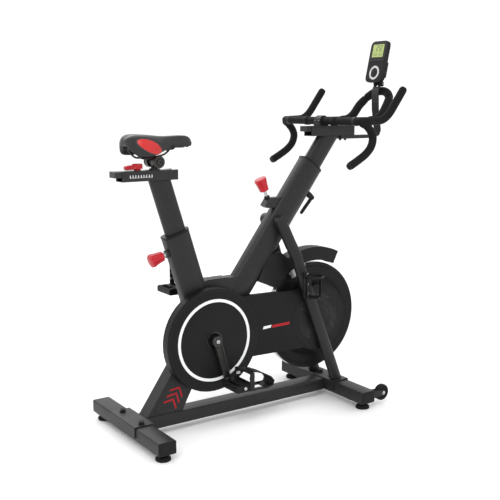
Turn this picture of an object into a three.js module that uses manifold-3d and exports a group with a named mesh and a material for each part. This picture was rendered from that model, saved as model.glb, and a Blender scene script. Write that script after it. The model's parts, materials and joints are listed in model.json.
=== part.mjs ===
import * as THREE from 'three';
import { mergeVertices } from 'three/addons/utils/BufferGeometryUtils.js';
import Module from 'manifold-3d';

// Indoor spin bike. Millimetres, +X to the front, +Y to the rider's left, +Z up.

// ---- Driving dimensions ----
const gap = 0.3;

const wheelbase = 932;
const stabiliserLength = 546;
const stabiliserWidth = 72;
const tubeHeight = 50;
const beamWidth = 72;
const footHeight = 27;
const footRadius = 28.5;
const footInset = 33;
const bracketWidth = 200;
const bracketSheet = 4.5;
const bracketSkirt = 37;

const transportWheelRadius = 34;
const transportWheelWidth = 20;
const transportWheelReach = 60;
const transportWheelRise = 51;
const transportWheelInset = 26;

const strutHalfWidth = 32;
const crankAxisX = 356;
const crankAxisZ = 345;
const crankLength = 170;
const crankLean = 16.6;
const crankInner = 86;
const crankThickness = 15;
const axleRadius = 10;
const shellRadius = 30;
const shellLeftReach = 70;

const flywheelX = 874;
const flywheelZ = 360;
const flywheelRadius = 226;
const flywheelThickness = 26;
const flywheelRimDepth = 56;
const flywheelWeb = 12;
const hubRadius = 45;
const hubReach = 20;
const flywheelAxleRadius = 8;

const drivePulleyRadius = 105;
const smallPulleyRadius = 32;
const beltWidth = 10;
const beltThickness = 4;

const guardPlateBack = 33.7;
const guardSheet = 3;
const lobeRadius = 203;
const lobeFace = 75;
const armFace = 57.5;
const crankHoleRadius = 25;
const frontLobeRadius = 140;
const hubCoverRadius = 112;
const ringOuter = 161;
const ringInner = 149;
const ringSheet = 1;

const sleeveLength = 110;
const sleeveWidth = 66;
const sleeveFlat = 36;
const sleeveWall = 4;
const postLength = 84;
const postWidth = 46;
const bushingDepth = 60;
const bushingLip = 8;

const seatLean = 17.7;
const seatTopX = 235;
const seatTopZ = 757;
const seatSleeveRun = 343;
const seatPostInside = 220;
const seatBoxZ = 962.8;

const headLean = 36.8;
const headTopX = 870;
const headTopZ = 988;
const headTubeRun = 700;
const handlebarPostInside = 230;
const handlebarBoxZ = 1107.1;

const seatBoxRear = 8.4;
const seatBoxRun = 226;
const seatBoxHeight = 37.3;
const slideBoxWidth = 51.6;
const slideBoxWall = 3;
const seatSliderRear = -18;
const seatSliderRun = 228;
const sliderHeight = 22;
const clampX = 150;
const clampAxisRise = 30;
const clampDiscRadius = 22;
const railSpread = 25;
const railRadius = 3.5;

const handlebarBoxRear = 855.6;
const handlebarBoxRun = 227;
const handlebarBoxHeight = 40.4;
const handlebarSliderRear = 831.6;
const handlebarSliderRun = 230;
const barRadius = 16;
const barX = 923;
const barRise = 20.5;
const barHalfSpan = 254;
const loopHalfSpan = 90;
const loopRadius = 18;

const forkFootSetback = 4;
const forkFootZ = 82;
const forkKneeX = 748;
const forkKneeZ = 622;
const forkTopX = 685;
const forkTopZ = 775;
const forkLength = 50;
const forkWidth = 30;
const forkInner = 58;

const fenderClearance = 10;
const fenderDepth = 56;
const fenderHalfWidth = 28;
const fenderStart = 64;
const fenderEnd = 144;
const fenderWall = 3;
const magnetMiddle = 112;

const consoleWidth = 106;
const consoleHeight = 176;
const consoleThickness = 20;
const consoleLean = 12.5;
const consoleX = 1200;
const consoleZ = 1328;
const hingeX = 1236;
const hingeZ = 1320;
const buttonRadius = 15;
const buttonRise = 39;

// ---- Derived values ----
const degree = Math.PI / 180;
const rearX = stabiliserWidth / 2;
const frontX = rearX + wheelbase;
const forkFootX = frontX - forkFootSetback;
const fenderInner = flywheelRadius + fenderClearance;
const fenderOuter = fenderInner + fenderDepth;
const tubeBottom = footHeight;
const tubeTop = tubeBottom + tubeHeight;
const seatDirection = [-Math.sin(seatLean * degree), Math.cos(seatLean * degree)];
const headDirection = [Math.sin(headLean * degree), Math.cos(headLean * degree)];
const plateFace = guardPlateBack + guardSheet;
const pulleyInner = plateFace + 1.5;
const pulleyOuter = armFace - guardSheet - 1.5;
const seatSliderTop = seatBoxZ + seatBoxHeight;
const handlebarSliderTop = handlebarBoxZ + handlebarBoxHeight;
const barZ = handlebarSliderTop + barRise;
const clampZ = seatSliderTop + clampAxisRise;
const pedalRightX = crankAxisX + crankLength * Math.sin(crankLean * degree);
const pedalRightZ = crankAxisZ - crankLength * Math.cos(crankLean * degree);
const pedalLeftX = 2 * crankAxisX - pedalRightX;
const pedalLeftZ = 2 * crankAxisZ - pedalRightZ;
const crankOuter = crankInner + crankThickness;

// ---- Materials ----
const finish = (color, roughness, metalness) => ({ color, roughness, metalness });
const charcoal = finish(0x1c1d1f, 0.5, 0.3);
const blackPlastic = finish(0x141415, 0.55, 0.0);
const rubber = finish(0x101010, 0.85, 0.0);
const red = finish(0xb3121c, 0.45, 0.0);
const white = finish(0xe8e8e8, 0.5, 0.0);
const steel = finish(0x9a9c9f, 0.3, 0.9);
const castIron = finish(0x2a2b2d, 0.4, 0.8);
const darkSteel = finish(0x2c2622, 0.35, 0.8);
const leather = finish(0x161617, 0.6, 0.0);

// ---- Solid tools ----
const wasm = await Module();
wasm.setup();

function solid(geometry) {
  const bare = geometry.clone();
  bare.deleteAttribute('normal');
  bare.deleteAttribute('uv');
  const merged = mergeVertices(bare, 1e-4);
  return new wasm.Manifold(new wasm.Mesh({
    numProp: 3,
    vertProperties: new Float32Array(merged.attributes.position.array),
    triVerts: new Uint32Array(merged.index.array),
  }));
}

function geometryOf(manifold) {
  const mesh = manifold.getMesh();
  const geometry = new THREE.BufferGeometry();
  geometry.setAttribute('position', new THREE.BufferAttribute(mesh.vertProperties, 3));
  geometry.setIndex(new THREE.BufferAttribute(mesh.triVerts, 1));
  geometry.computeVertexNormals();
  return geometry;
}

const join = (...pieces) => pieces.slice(1).reduce((sum, piece) => sum.add(piece), pieces[0]);
const cut = (piece, ...tools) => tools.reduce((rest, tool) => rest.subtract(tool), piece);

function block(x0, x1, y0, y1, z0, z1) {
  const geometry = new THREE.BoxGeometry(x1 - x0, y1 - y0, z1 - z0);
  geometry.translate((x0 + x1) / 2, (y0 + y1) / 2, (z0 + z1) / 2);
  return solid(geometry);
}

function shapeOf(points) {
  return new THREE.Shape(points.map(([a, b]) => new THREE.Vector2(a, b)));
}

// Side outline in X and Z, carried across from y0 to y1.
function sidePlate(points, y0, y1, holes = []) {
  const shape = shapeOf(points);
  holes.forEach((hole) => shape.holes.push(shapeOf(hole)));
  const geometry = new THREE.ExtrudeGeometry(shape, { depth: y1 - y0, bevelEnabled: false });
  geometry.rotateX(Math.PI / 2);
  geometry.translate(0, y1, 0);
  return solid(geometry);
}

// Cross outline in X and Z carried along Y with its long edges rounded.
function roundedBox(x0, x1, z0, z1, radius) {
  const points = [];
  const corners = [[x1 - radius, z0 + radius, -90], [x1 - radius, z1 - radius, 0],
    [x0 + radius, z1 - radius, 90], [x0 + radius, z0 + radius, 180]];
  corners.forEach(([x, z, start]) => {
    for (let k = 0; k <= 3; k += 1) {
      const angle = (start + k * 30) * degree;
      points.push([x + radius * Math.cos(angle), z + radius * Math.sin(angle)]);
    }
  });
  return points;
}

function circle(x, z, radius, count = 48) {
  return Array.from({ length: count }, (_, k) => {
    const angle = (k / count) * 2 * Math.PI;
    return [x + radius * Math.cos(angle), z + radius * Math.sin(angle)];
  });
}

const discY = (x, z, radius, y0, y1, count = 32) => sidePlate(circle(x, z, radius, count), y0, y1);

// Round body about a line from one point to another, with a radius at each end.
function rod(from, to, radiusFrom, radiusTo = radiusFrom, count = 20) {
  const start = new THREE.Vector3(...from);
  const end = new THREE.Vector3(...to);
  const run = end.clone().sub(start);
  const geometry = new THREE.CylinderGeometry(radiusTo, radiusFrom, run.length(), count);
  const turn = new THREE.Quaternion().setFromUnitVectors(
    new THREE.Vector3(0, 1, 0), run.clone().normalize());
  geometry.applyQuaternion(turn);
  const middle = start.add(end).multiplyScalar(0.5);
  geometry.translate(middle.x, middle.y, middle.z);
  return solid(geometry);
}

// Skin a closed loop of points from station to station and close both ends.
function loft(rings) {
  const count = rings[0].length;
  const positions = rings.flat(2);
  let index = [];
  for (let s = 0; s + 1 < rings.length; s += 1) {
    for (let i = 0; i < count; i += 1) {
      const a = s * count + i;
      const b = s * count + ((i + 1) % count);
      index.push(a, b, a + count, b, b + count, a + count);
    }
  }
  const last = (rings.length - 1) * count;
  for (let i = 1; i + 1 < count; i += 1) {
    index.push(0, i + 1, i, last, last + i, last + i + 1);
  }
  const corner = (i) => new THREE.Vector3().fromArray(positions, 3 * i);
  let volume = 0;
  for (let i = 0; i < index.length; i += 3) {
    volume += corner(index[i]).dot(corner(index[i + 1]).cross(corner(index[i + 2])));
  }
  if (volume < 0) index = index.reverse();
  const geometry = new THREE.BufferGeometry();
  geometry.setAttribute('position', new THREE.Float32BufferAttribute(positions, 3));
  geometry.setIndex(index);
  return solid(geometry);
}

// Flat loop carried along a path; the loop's first axis starts along the given direction.
function sweep(path, loop, first) {
  const points = path.map((p) => new THREE.Vector3(...p));
  let across = new THREE.Vector3(...first);
  const rings = points.map((point, i) => {
    const before = points[Math.max(i - 1, 0)];
    const after = points[Math.min(i + 1, points.length - 1)];
    const along = after.clone().sub(before).normalize();
    across = across.clone().sub(along.clone().multiplyScalar(across.dot(along))).normalize();
    const up = along.clone().cross(across);
    return loop.map(([u, v]) => point.clone().addScaledVector(across, u).addScaledVector(up, v).toArray());
  });
  return loft(rings);
}

function smooth(points, count) {
  const curve = new THREE.CatmullRomCurve3(points.map((p) => new THREE.Vector3(...p)), false, 'centripetal');
  return curve.getSpacedPoints(count).map((p) => p.toArray());
}

const roundLoop = (radius, count = 12) => circle(0, 0, radius, count);

function ovalLoop(length, width, count = 24) {
  const power = 2 / 2.6;
  return Array.from({ length: count }, (_, k) => {
    const angle = (k / count) * 2 * Math.PI;
    const c = Math.cos(angle);
    const s = Math.sin(angle);
    return [length / 2 * Math.sign(c) * Math.abs(c) ** power,
      width / 2 * Math.sign(s) * Math.abs(s) ** power];
  });
}

// Tube with a flat band at the rear, bowed sides and a round front.
function sleeveLoop(length, width, flat) {
  const half = [];
  const steps = 7;
  for (let k = 0; k <= steps; k += 1) {
    const angle = (90 - 90 * k / steps) * degree;
    half.push([-length / 2 * Math.sin(angle), flat / 2 + (width - flat) / 2 * Math.cos(angle)]);
  }
  for (let k = 1; k < steps; k += 1) {
    const angle = 90 * k / steps * degree;
    half.push([length / 2 * Math.sin(angle), width / 2 * Math.cos(angle)]);
  }
  const mirrored = half.slice().reverse().map(([x, y]) => [x, -y]);
  return [...half, [length / 2, 0], ...mirrored];
}

// Straight bar along a leaning line through a point in the side plane.
function leaning(loop, x, z, direction, from, to) {
  const [dx, dz] = direction;
  const ring = (s) => loop.map(([u, v]) => [x + dx * s + dz * u, v, z + dz * s - dx * u]);
  return loft([ring(from), ring(to)]);
}

// Strip of sheet following a side path.
function ribbon(points, thickness, y0, y1) {
  const left = [];
  const right = [];
  points.forEach(([x, z], i) => {
    const [ax, az] = points[Math.max(i - 1, 0)];
    const [bx, bz] = points[Math.min(i + 1, points.length - 1)];
    const run = Math.hypot(bx - ax, bz - az);
    const nx = -(bz - az) / run * thickness / 2;
    const nz = (bx - ax) / run * thickness / 2;
    left.push([x + nx, z + nz]);
    right.unshift([x - nx, z - nz]);
  });
  return sidePlate([...left, ...right], y0, y1);
}

const group = new THREE.Group();
group.name = 'spin_bike';

function add(name, manifold, look, at = [0, 0, 0]) {
  const geometry = geometryOf(manifold);
  geometry.translate(-at[0], -at[1], -at[2]);
  const material = new THREE.MeshStandardMaterial(look);
  const mesh = new THREE.Mesh(geometry, material);
  mesh.name = name;
  mesh.position.set(...at);
  group.add(mesh);
}

// ---- Base ----
const halfTrack = stabiliserLength / 2;
const stabiliser = (x) => sidePlate(
  roundedBox(x - stabiliserWidth / 2, x + stabiliserWidth / 2, tubeBottom, tubeTop, 6), -halfTrack, halfTrack);
add('rear_stabiliser', stabiliser(rearX), charcoal, [rearX, 0, tubeBottom]);

const wheelY = halfTrack - transportWheelInset;
const wheelX = frontX + stabiliserWidth / 2 + transportWheelReach;
const forkPlate = 4;
const forkPlateGap = transportWheelWidth / 2 + 1;
const wheelStubRadius = 5;
const wheelHolder = (side) => {
  const y = side * wheelY;
  const outline = [[frontX + stabiliserWidth / 2 - 2, tubeBottom + 8], [wheelX + 6, transportWheelRise - 10],
    [wheelX + 12, transportWheelRise], [wheelX + 6, transportWheelRise + 10],
    [frontX + stabiliserWidth / 2 - 2, tubeTop - 8]];
  const inner = sidePlate(outline, y - forkPlateGap - forkPlate, y - forkPlateGap);
  const outer = sidePlate(outline, y + forkPlateGap, y + forkPlateGap + forkPlate);
  const pin = discY(wheelX, transportWheelRise, wheelStubRadius, y - forkPlateGap - 2, y + forkPlateGap + 2, 16);
  return join(inner, outer, pin);
};
add('front_stabiliser', join(stabiliser(frontX), wheelHolder(1), wheelHolder(-1)), charcoal,
  [frontX, 0, tubeBottom]);

[['left', 1], ['right', -1]].forEach(([side, sign]) => {
  const y = sign * wheelY;
  const half = transportWheelWidth / 2;
  const tyre = join(
    discY(wheelX, transportWheelRise, transportWheelRadius, y - half + 3, y + half - 3, 28),
    rod([wheelX, y - half, transportWheelRise], [wheelX, y - half + 3.1, transportWheelRise],
      transportWheelRadius - 4, transportWheelRadius - 0.5, 28),
    rod([wheelX, y + half - 3.1, transportWheelRise], [wheelX, y + half, transportWheelRise],
      transportWheelRadius - 0.5, transportWheelRadius - 4, 28));
  const bore = discY(wheelX, transportWheelRise, wheelStubRadius + gap, y - half - 1, y + half + 1, 16);
  add(`transport_wheel_${side}`, cut(tyre, bore), rubber, [wheelX, y, transportWheelRise]);
});

const bracket = (x, boltSpread) => {
  const left = x - stabiliserWidth / 2 - gap;
  const right = x + stabiliserWidth / 2 + gap;
  const top = tubeTop + gap;
  const outline = [[left - bracketSheet, top - bracketSkirt], [left, top - bracketSkirt], [left, top],
    [right, top], [right, top - bracketSkirt], [right + bracketSheet, top - bracketSkirt],
    [right + bracketSheet, top + bracketSheet - 2], [right + bracketSheet - 2, top + bracketSheet],
    [left - bracketSheet + 2, top + bracketSheet], [left - bracketSheet, top + bracketSheet - 2]];
  const sheet = sidePlate(outline, -bracketWidth / 2, bracketWidth / 2);
  const bolt = (y) => join(
    rod([x, y, top + bracketSheet - 0.5], [x, y, top + bracketSheet + 2], 13, 13, 20),
    rod([x, y, top + bracketSheet + 1], [x, y, top + bracketSheet + 8], 9, 9, 6));
  return join(sheet, bolt(boltSpread), bolt(-boltSpread));
};
add('rear_bracket', bracket(rearX, 77), charcoal, [rearX, 0, tubeTop]);
add('front_bracket', bracket(frontX, 36), charcoal, [frontX, 0, tubeTop]);

const beamStart = rearX + stabiliserWidth / 2 + bracketSheet + 2 * gap;
const beamEnd = frontX - stabiliserWidth / 2 - bracketSheet - 2 * gap;
const beamLoop = roundedBox(-beamWidth / 2, beamWidth / 2, tubeBottom, tubeTop, 6);
add('base_beam', loft([beamStart, beamEnd].map((x) => beamLoop.map(([y, z]) => [x, y, z]))), charcoal,
  [beamStart, 0, tubeBottom]);

[['rear', rearX], ['front', frontX]].forEach(([end, x]) => {
  [['left', 1], ['right', -1]].forEach(([side, sign]) => {
    const y = sign * (halfTrack - footInset);
    const foot = join(
      rod([x, y, 0], [x, y, 6], footRadius, footRadius, 28),
      rod([x, y, 5], [x, y, 16], footRadius - 1, footRadius - 6, 28),
      rod([x, y, 14], [x, y, footHeight - gap], 12, 12, 6));
    add(`levelling_foot_${end}_${side}`, foot, rubber, [x, y, 0]);
  });
});

// ---- Sleeves and posts ----
const sleeveOuter = (grow) => sleeveLoop(sleeveLength + 2 * grow, sleeveWidth + 2 * grow, sleeveFlat + 2 * grow);
const seatTube = (grow) => leaning(sleeveOuter(grow), seatTopX, seatTopZ, seatDirection, -seatSleeveRun - grow, 0);
const headTubeSolid = (grow) => leaning(
  sleeveOuter(grow), headTopX, headTopZ, headDirection, -headTubeRun - grow, 0);
const hollow = (x, z, direction, run) => leaning(sleeveOuter(-sleeveWall), x, z, direction, -run - 1, 1);
add('seat_sleeve', cut(seatTube(0), hollow(seatTopX, seatTopZ, seatDirection, seatSleeveRun)), charcoal,
  [seatTopX, 0, seatTopZ]);
add('head_tube', cut(headTubeSolid(0), hollow(headTopX, headTopZ, headDirection, headTubeRun)), charcoal,
  [headTopX, 0, headTopZ]);

const bushing = (x, z, direction) => {
  const inside = leaning(sleeveOuter(-sleeveWall - gap), x, z, direction, -bushingDepth, gap + 1);
  const lip = leaning(sleeveOuter(1), x, z, direction, gap, bushingLip);
  const bore = leaning(ovalLoop(postLength + 2 * gap, postWidth + 2 * gap), x, z, direction,
    -bushingDepth - 1, bushingLip + 1);
  return cut(join(inside, lip), bore);
};
add('seat_bushing', bushing(seatTopX, seatTopZ, seatDirection), blackPlastic, [seatTopX, 0, seatTopZ]);
add('handlebar_bushing', bushing(headTopX, headTopZ, headDirection), blackPlastic, [headTopX, 0, headTopZ]);

const far = 400;
const post = (x, z, direction, inside, topZ) => {
  const bar = leaning(ovalLoop(postLength, postWidth), x, z, direction, -inside, (topZ - z) / direction[1] + 60);
  return cut(bar, block(x - far, x + far, -far, far, topZ - gap, topZ + far));
};
add('seat_post', post(seatTopX, seatTopZ, seatDirection, seatPostInside, seatBoxZ), charcoal,
  [seatTopX, 0, seatTopZ]);
add('handlebar_post', post(headTopX, headTopZ, headDirection, handlebarPostInside, handlebarBoxZ), charcoal,
  [headTopX, 0, headTopZ]);

// ---- Frame behind the guard ----
const shellTool = (grow) => discY(crankAxisX, crankAxisZ, shellRadius + grow, -guardPlateBack + gap,
  shellLeftReach, 32);
const strutTop = seatTopZ - 302.3;
const strutOutline = [[83, tubeTop + gap], [235, tubeTop + gap], [423, strutTop - 24.7], [440, strutTop],
  [345, strutTop]];
add('rear_strut', cut(sidePlate(strutOutline, -strutHalfWidth, strutHalfWidth), seatTube(gap),
  headTubeSolid(gap), shellTool(gap)), charcoal, [83, 0, tubeTop]);
const webOutline = [[330, 570], [520, 570], [445, strutTop + gap], [350, strutTop + gap]];
const webHalfWidth = 24;
add('frame_web', cut(sidePlate(webOutline, -webHalfWidth, webHalfWidth), seatTube(gap), headTubeSolid(gap)),
  charcoal, [400, 0, 570]);
const bore = (radius, y0, y1) => discY(crankAxisX, crankAxisZ, radius, y0, y1, 24);
add('bottom_bracket_shell', cut(shellTool(0), bore(axleRadius + gap, -far, far)), charcoal,
  [crankAxisX, 0, crankAxisZ]);

// ---- Fork legs ----
[['right', -1], ['left', 1]].forEach(([side, sign]) => {
  const middle = sign * (forkInner + forkWidth / 2);
  const topY = sign * (sleeveWidth / 2 + gap + forkWidth / 2);
  const blend = (t) => [forkKneeX + (forkTopX - forkKneeX) * t, middle + (topY - middle) * t,
    forkKneeZ + (forkTopZ - forkKneeZ) * t];
  const path = [[forkFootX + 16, middle, forkFootZ - 40], [forkKneeX + 8, middle, forkKneeZ - 20],
    [forkKneeX - 2, middle - sign * 1, forkKneeZ + 12], blend(0.4), blend(0.8), [forkTopX, topY, forkTopZ]];
  const leg = sweep(path, ovalLoop(forkLength, forkWidth, 20), [1, 0, 0]);
  const cap = discY(forkTopX, forkTopZ, forkLength / 2 - 1, Math.min(topY - 14, topY + 14), topY + 14, 20);
  const floor = block(forkFootX - 90, forkFootX + 90, -150, 150, -20, tubeTop + bracketSheet + 2 * gap);
  const inside = block(forkTopX - 150, forkTopX + 150, -sleeveWidth / 2 - gap, sleeveWidth / 2 + gap,
    forkKneeZ, forkTopZ + 100);
  add(`fork_leg_${side}`, cut(join(leg, cap), floor, inside), charcoal, [forkFootX, middle, forkFootZ]);
});

// ---- Flywheel and drive ----
const turned = (x, z, profile, count = 64) => {
  const geometry = new THREE.LatheGeometry(profile.map(([r, y]) => new THREE.Vector2(r, y)), count);
  geometry.translate(x, 0, z);
  return solid(geometry);
};
const turnedAboutY = (x, z, points, count) => turned(x, z, [...points, points[0]], count);
const rimHalf = flywheelThickness / 2;
const rimInner = flywheelRadius - flywheelRimDepth;
const flywheelBore = flywheelAxleRadius + gap;
const flywheelSide = [[flywheelBore, hubReach], [hubRadius, hubReach], [hubRadius, flywheelWeb / 2],
  [rimInner, flywheelWeb / 2], [rimInner + 5, rimHalf], [flywheelRadius - 2, rimHalf],
  [flywheelRadius, rimHalf - 2]];
const mirroredSide = flywheelSide.slice().reverse().map(([r, y]) => [r, -y]);
add('flywheel', turnedAboutY(flywheelX, flywheelZ, [...mirroredSide, ...flywheelSide].reverse(), 56), castIron,
  [flywheelX, 0, flywheelZ]);
add('flywheel_axle', join(
  discY(flywheelX, flywheelZ, flywheelAxleRadius, -forkInner + gap, forkInner - gap, 24),
  discY(flywheelX, flywheelZ, flywheelAxleRadius + 6, hubReach + gap, forkInner - gap, 6)), steel,
[flywheelX, 0, flywheelZ]);
const smallPulley = [[flywheelBore, -pulleyOuter], [smallPulleyRadius + 3, -pulleyOuter],
  [smallPulleyRadius + 3, -pulleyOuter + 1.5], [smallPulleyRadius, -pulleyOuter + 1.5],
  [smallPulleyRadius, -pulleyInner - 1.5], [smallPulleyRadius + 3, -pulleyInner - 1.5],
  [smallPulleyRadius + 3, -pulleyInner], [16, -pulleyInner], [16, -hubReach - gap], [flywheelBore, -hubReach - gap]];
add('flywheel_pulley', turnedAboutY(flywheelX, flywheelZ, smallPulley, 28), steel, [flywheelX, -45, flywheelZ]);
const webIn = pulleyInner + 4;
const webOut = pulleyOuter - 4;
const driveBore = axleRadius + gap;
const drivePulley = [[driveBore, -pulleyOuter], [26, -pulleyOuter], [26, -webOut],
  [drivePulleyRadius - 14, -webOut], [drivePulleyRadius - 12, -pulleyOuter], [drivePulleyRadius, -pulleyOuter],
  [drivePulleyRadius, -pulleyInner], [drivePulleyRadius - 12, -pulleyInner], [drivePulleyRadius - 14, -webIn],
  [26, -webIn], [26, -pulleyInner], [driveBore, -pulleyInner]];
add('drive_pulley', turnedAboutY(crankAxisX, crankAxisZ, drivePulley, 48), blackPlastic,
  [crankAxisX, -45, crankAxisZ]);

// Outline round two circles, starting where the upper straight leaves the first.
function beltOutline(x0, z0, r0, x1, z1, r1, count = 24) {
  const span = Math.hypot(x1 - x0, z1 - z0);
  const tilt = Math.atan2(z1 - z0, x1 - x0);
  const lift = Math.acos((r0 - r1) / span);
  const points = [];
  for (let k = 0; k <= count; k += 1) {
    const angle = tilt + lift + (2 * Math.PI - 2 * lift) * k / count;
    points.push([x0 + r0 * Math.cos(angle), z0 + r0 * Math.sin(angle)]);
  }
  for (let k = 0; k <= count; k += 1) {
    const angle = tilt - lift + 2 * lift * k / count;
    points.push([x1 + r1 * Math.cos(angle), z1 + r1 * Math.sin(angle)]);
  }
  return points;
}
const beltMiddle = (pulleyInner + pulleyOuter) / 2;
const beltLoop = (grow) => beltOutline(crankAxisX, crankAxisZ, drivePulleyRadius + grow, flywheelX, flywheelZ,
  smallPulleyRadius + grow);
const beltSide = (grow) => sidePlate(beltLoop(grow), -beltMiddle - beltWidth / 2, -beltMiddle + beltWidth / 2);
add('drive_belt', cut(beltSide(gap + beltThickness - 1.5), beltSide(gap)), rubber,
  [(crankAxisX + flywheelX) / 2, -beltMiddle, crankAxisZ]);

add('crank_axle', discY(crankAxisX, crankAxisZ, axleRadius, -crankOuter + 2, crankOuter - 2, 24), steel,
  [crankAxisX, 0, crankAxisZ]);
const arm = (x, z, y0, y1) => {
  const span = beltOutline(crankAxisX, crankAxisZ, 17, x, z, 13, 12);
  const bossOutline = circle(crankAxisX, crankAxisZ, 21, 28);
  const tip = circle(x, z, 15, 24);
  return cut(join(sidePlate(span, y0 + 1, y1 - 1), sidePlate(bossOutline, y0, y1), sidePlate(tip, y0, y1)),
    bore(axleRadius + gap, y0 - 5, y1 + 5));
};
add('crank_arm_right', arm(pedalRightX, pedalRightZ, -crankOuter, -crankInner), darkSteel,
  [crankAxisX, -crankInner, crankAxisZ]);
add('crank_arm_left', arm(pedalLeftX, pedalLeftZ, crankInner, crankOuter), darkSteel,
  [crankAxisX, crankInner, crankAxisZ]);

// ---- Pedals and toe cages ----
const pedalInner = 115;
const pedalOuter = 215;
const pedalHalfLength = 41;
const pedalHalfHeight = 13;
const cageSheet = 4;
const strapSheet = 3;
[['right', -1, pedalRightX, pedalRightZ, 56], ['left', 1, pedalLeftX, pedalLeftZ, 104]].forEach(
  ([side, sign, x, z, strapRise]) => {
    const y0 = Math.min(sign * pedalInner, sign * pedalOuter);
    const y1 = Math.max(sign * pedalInner, sign * pedalOuter);
    const middle = (y0 + y1) / 2;
    const bodyOutline = roundedBox(x - pedalHalfLength, x + pedalHalfLength, z - pedalHalfHeight,
      z + pedalHalfHeight, 6);
    const windows = [x - 24, x + 24].map((c) => block(c - 10, c + 10, y0 + 14, y1 - 14, z - 30, z + 30));
    const spindle = rod([x, sign * (crankOuter + gap), z], [x, sign * (pedalInner + 5), z], 8, 8, 16);
    add(`pedal_${side}`, join(cut(sidePlate(bodyOutline, y0, y1), ...windows), spindle), blackPlastic,
      [x, middle, z]);
    const clipPath = [[x + pedalHalfLength + gap + 2, z - 11], [x + 62, z - 18], [x + 112, z - 22],
      [x + 138, z - 14], [x + 143, z + 2], [x + 128, z + 20], [x + 96, z + 38], [x + 66, z + 50], [x + 44, z + 54]];
    const clip = ribbon(clipPath, cageSheet, middle - 34, middle + 34);
    const clipWindow = join(block(x + 55, x + 108, middle - 22, middle + 22, z - 40, z + 20),
      block(x + 68, x + 120, middle - 14, middle + 14, z + 10, z + 60));
    const strapX = x + 38;
    const strapWidth = 20;
    const outside = y1 - middle + gap;
    const band = cut(
      block(strapX - strapWidth, strapX, middle - outside - strapSheet, middle + outside + strapSheet,
        z - pedalHalfHeight, z + strapRise),
      block(strapX - strapWidth - 5, strapX + 5, middle - outside, middle + outside, z - 40,
        z + strapRise - strapSheet));
    const bridge = block(strapX - strapWidth, x + 52, middle - 30, middle + 30, z + 53, z + 56);
    const foot = block(strapX - 4, x + pedalHalfLength + 4, middle - 34, middle + 34,
      z - pedalHalfHeight - 4, z - pedalHalfHeight - gap);
    const sideTies = join(
      block(strapX - 4, x + 46, middle - outside - strapSheet, middle - outside, z - 14, z - 8),
      block(strapX - 4, x + 46, middle + outside, middle + outside + strapSheet, z - 14, z - 8));
    const lip = block(x + pedalHalfLength + gap, x + 46, middle - outside - strapSheet,
      middle + outside + strapSheet, z - 14, z - 8);
    const upper = strapRise > 60 ? [block(strapX - strapWidth, strapX, middle - outside - 1,
      middle + outside + 1, z + 53, z + 56)] : [];
    add(`toe_cage_${side}`, join(cut(clip, clipWindow), band, bridge, foot, sideTies, lip, ...upper),
      blackPlastic, [x, middle, z]);
  });

// ---- Belt guard ----
const lobe = (grow) => circle(crankAxisX, crankAxisZ, lobeRadius + grow, 60);
const frontLobe = (grow) => circle(flywheelX, flywheelZ, frontLobeRadius + grow, 56);
const armOutline = (inset) => [[crankAxisX, crankAxisZ + 150 - inset], [crankAxisX + 172, crankAxisZ + 150 - inset],
  [flywheelX - 124, flywheelZ + 128 - inset], [flywheelX, flywheelZ + 128 - inset],
  [flywheelX, flywheelZ - 120 + inset], [flywheelX - 99, flywheelZ - 120 + inset],
  [crankAxisX + 204, crankAxisZ - 100 + inset], [crankAxisX, crankAxisZ - 100 + inset]];
// Round dish of the guard: straight wall, then a softened edge into its face.
const lobeBody = (inset, back, face) => {
  const at = (radius, y) => circle(crankAxisX, crankAxisZ, radius, 60).map(([x, z]) => [x, y, z]);
  const full = lobeRadius - inset;
  return loft([at(full, -back), at(full, -face + 7), at(full - 2, -face + 2), at(full - 7, -face)]);
};
const flatGuard = (inset, back, face) => join(
  sidePlate(armOutline(inset), -face, -back), sidePlate(frontLobe(-inset), -face, -back));
const guardBody = cut(
  join(lobeBody(0, plateFace + gap, lobeFace), flatGuard(0, plateFace + gap, armFace)),
  lobeBody(guardSheet, plateFace - 1, lobeFace - guardSheet),
  flatGuard(guardSheet, plateFace - 1, armFace - guardSheet),
  discY(crankAxisX, crankAxisZ, crankHoleRadius, -lobeFace - 5, -lobeFace + 10, 32),
  discY(flywheelX, flywheelZ, hubCoverRadius + gap, -armFace - 5, -armFace + 10, 56));
add('belt_guard_outer', guardBody, blackPlastic, [crankAxisX, -plateFace, crankAxisZ]);
add('belt_guard_inner', cut(
  join(sidePlate(lobe(0), -plateFace, -guardPlateBack), flatGuard(0, guardPlateBack, plateFace)),
  bore(axleRadius + 3, -plateFace - 5, -plateFace + 10),
  discY(flywheelX, flywheelZ, 20, -plateFace - 5, -plateFace + 10, 32)), blackPlastic,
[crankAxisX, -plateFace, crankAxisZ]);
const coverScrews = [60, 150, 240, 330].map((angle) => [
  flywheelX + 92 * Math.cos(angle * degree), flywheelZ + 92 * Math.sin(angle * degree)]);
add('hub_cover', cut(
  discY(flywheelX, flywheelZ, hubCoverRadius, -armFace, -armFace + guardSheet, 56),
  discY(flywheelX, flywheelZ, flywheelAxleRadius + gap, -armFace - 5, -armFace + 10, 24),
  ...coverScrews.map(([x, z]) => discY(x, z, 6, -armFace - 1, -armFace + 1.5, 12))), blackPlastic,
[flywheelX, -armFace, flywheelZ]);
add('guard_ring', cut(
  discY(crankAxisX, crankAxisZ, ringOuter, -lobeFace - gap - ringSheet, -lobeFace - gap, 60),
  discY(crankAxisX, crankAxisZ, ringInner, -lobeFace - 5, -lobeFace + 5, 60)), white,
[crankAxisX, -lobeFace, crankAxisZ]);

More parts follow.
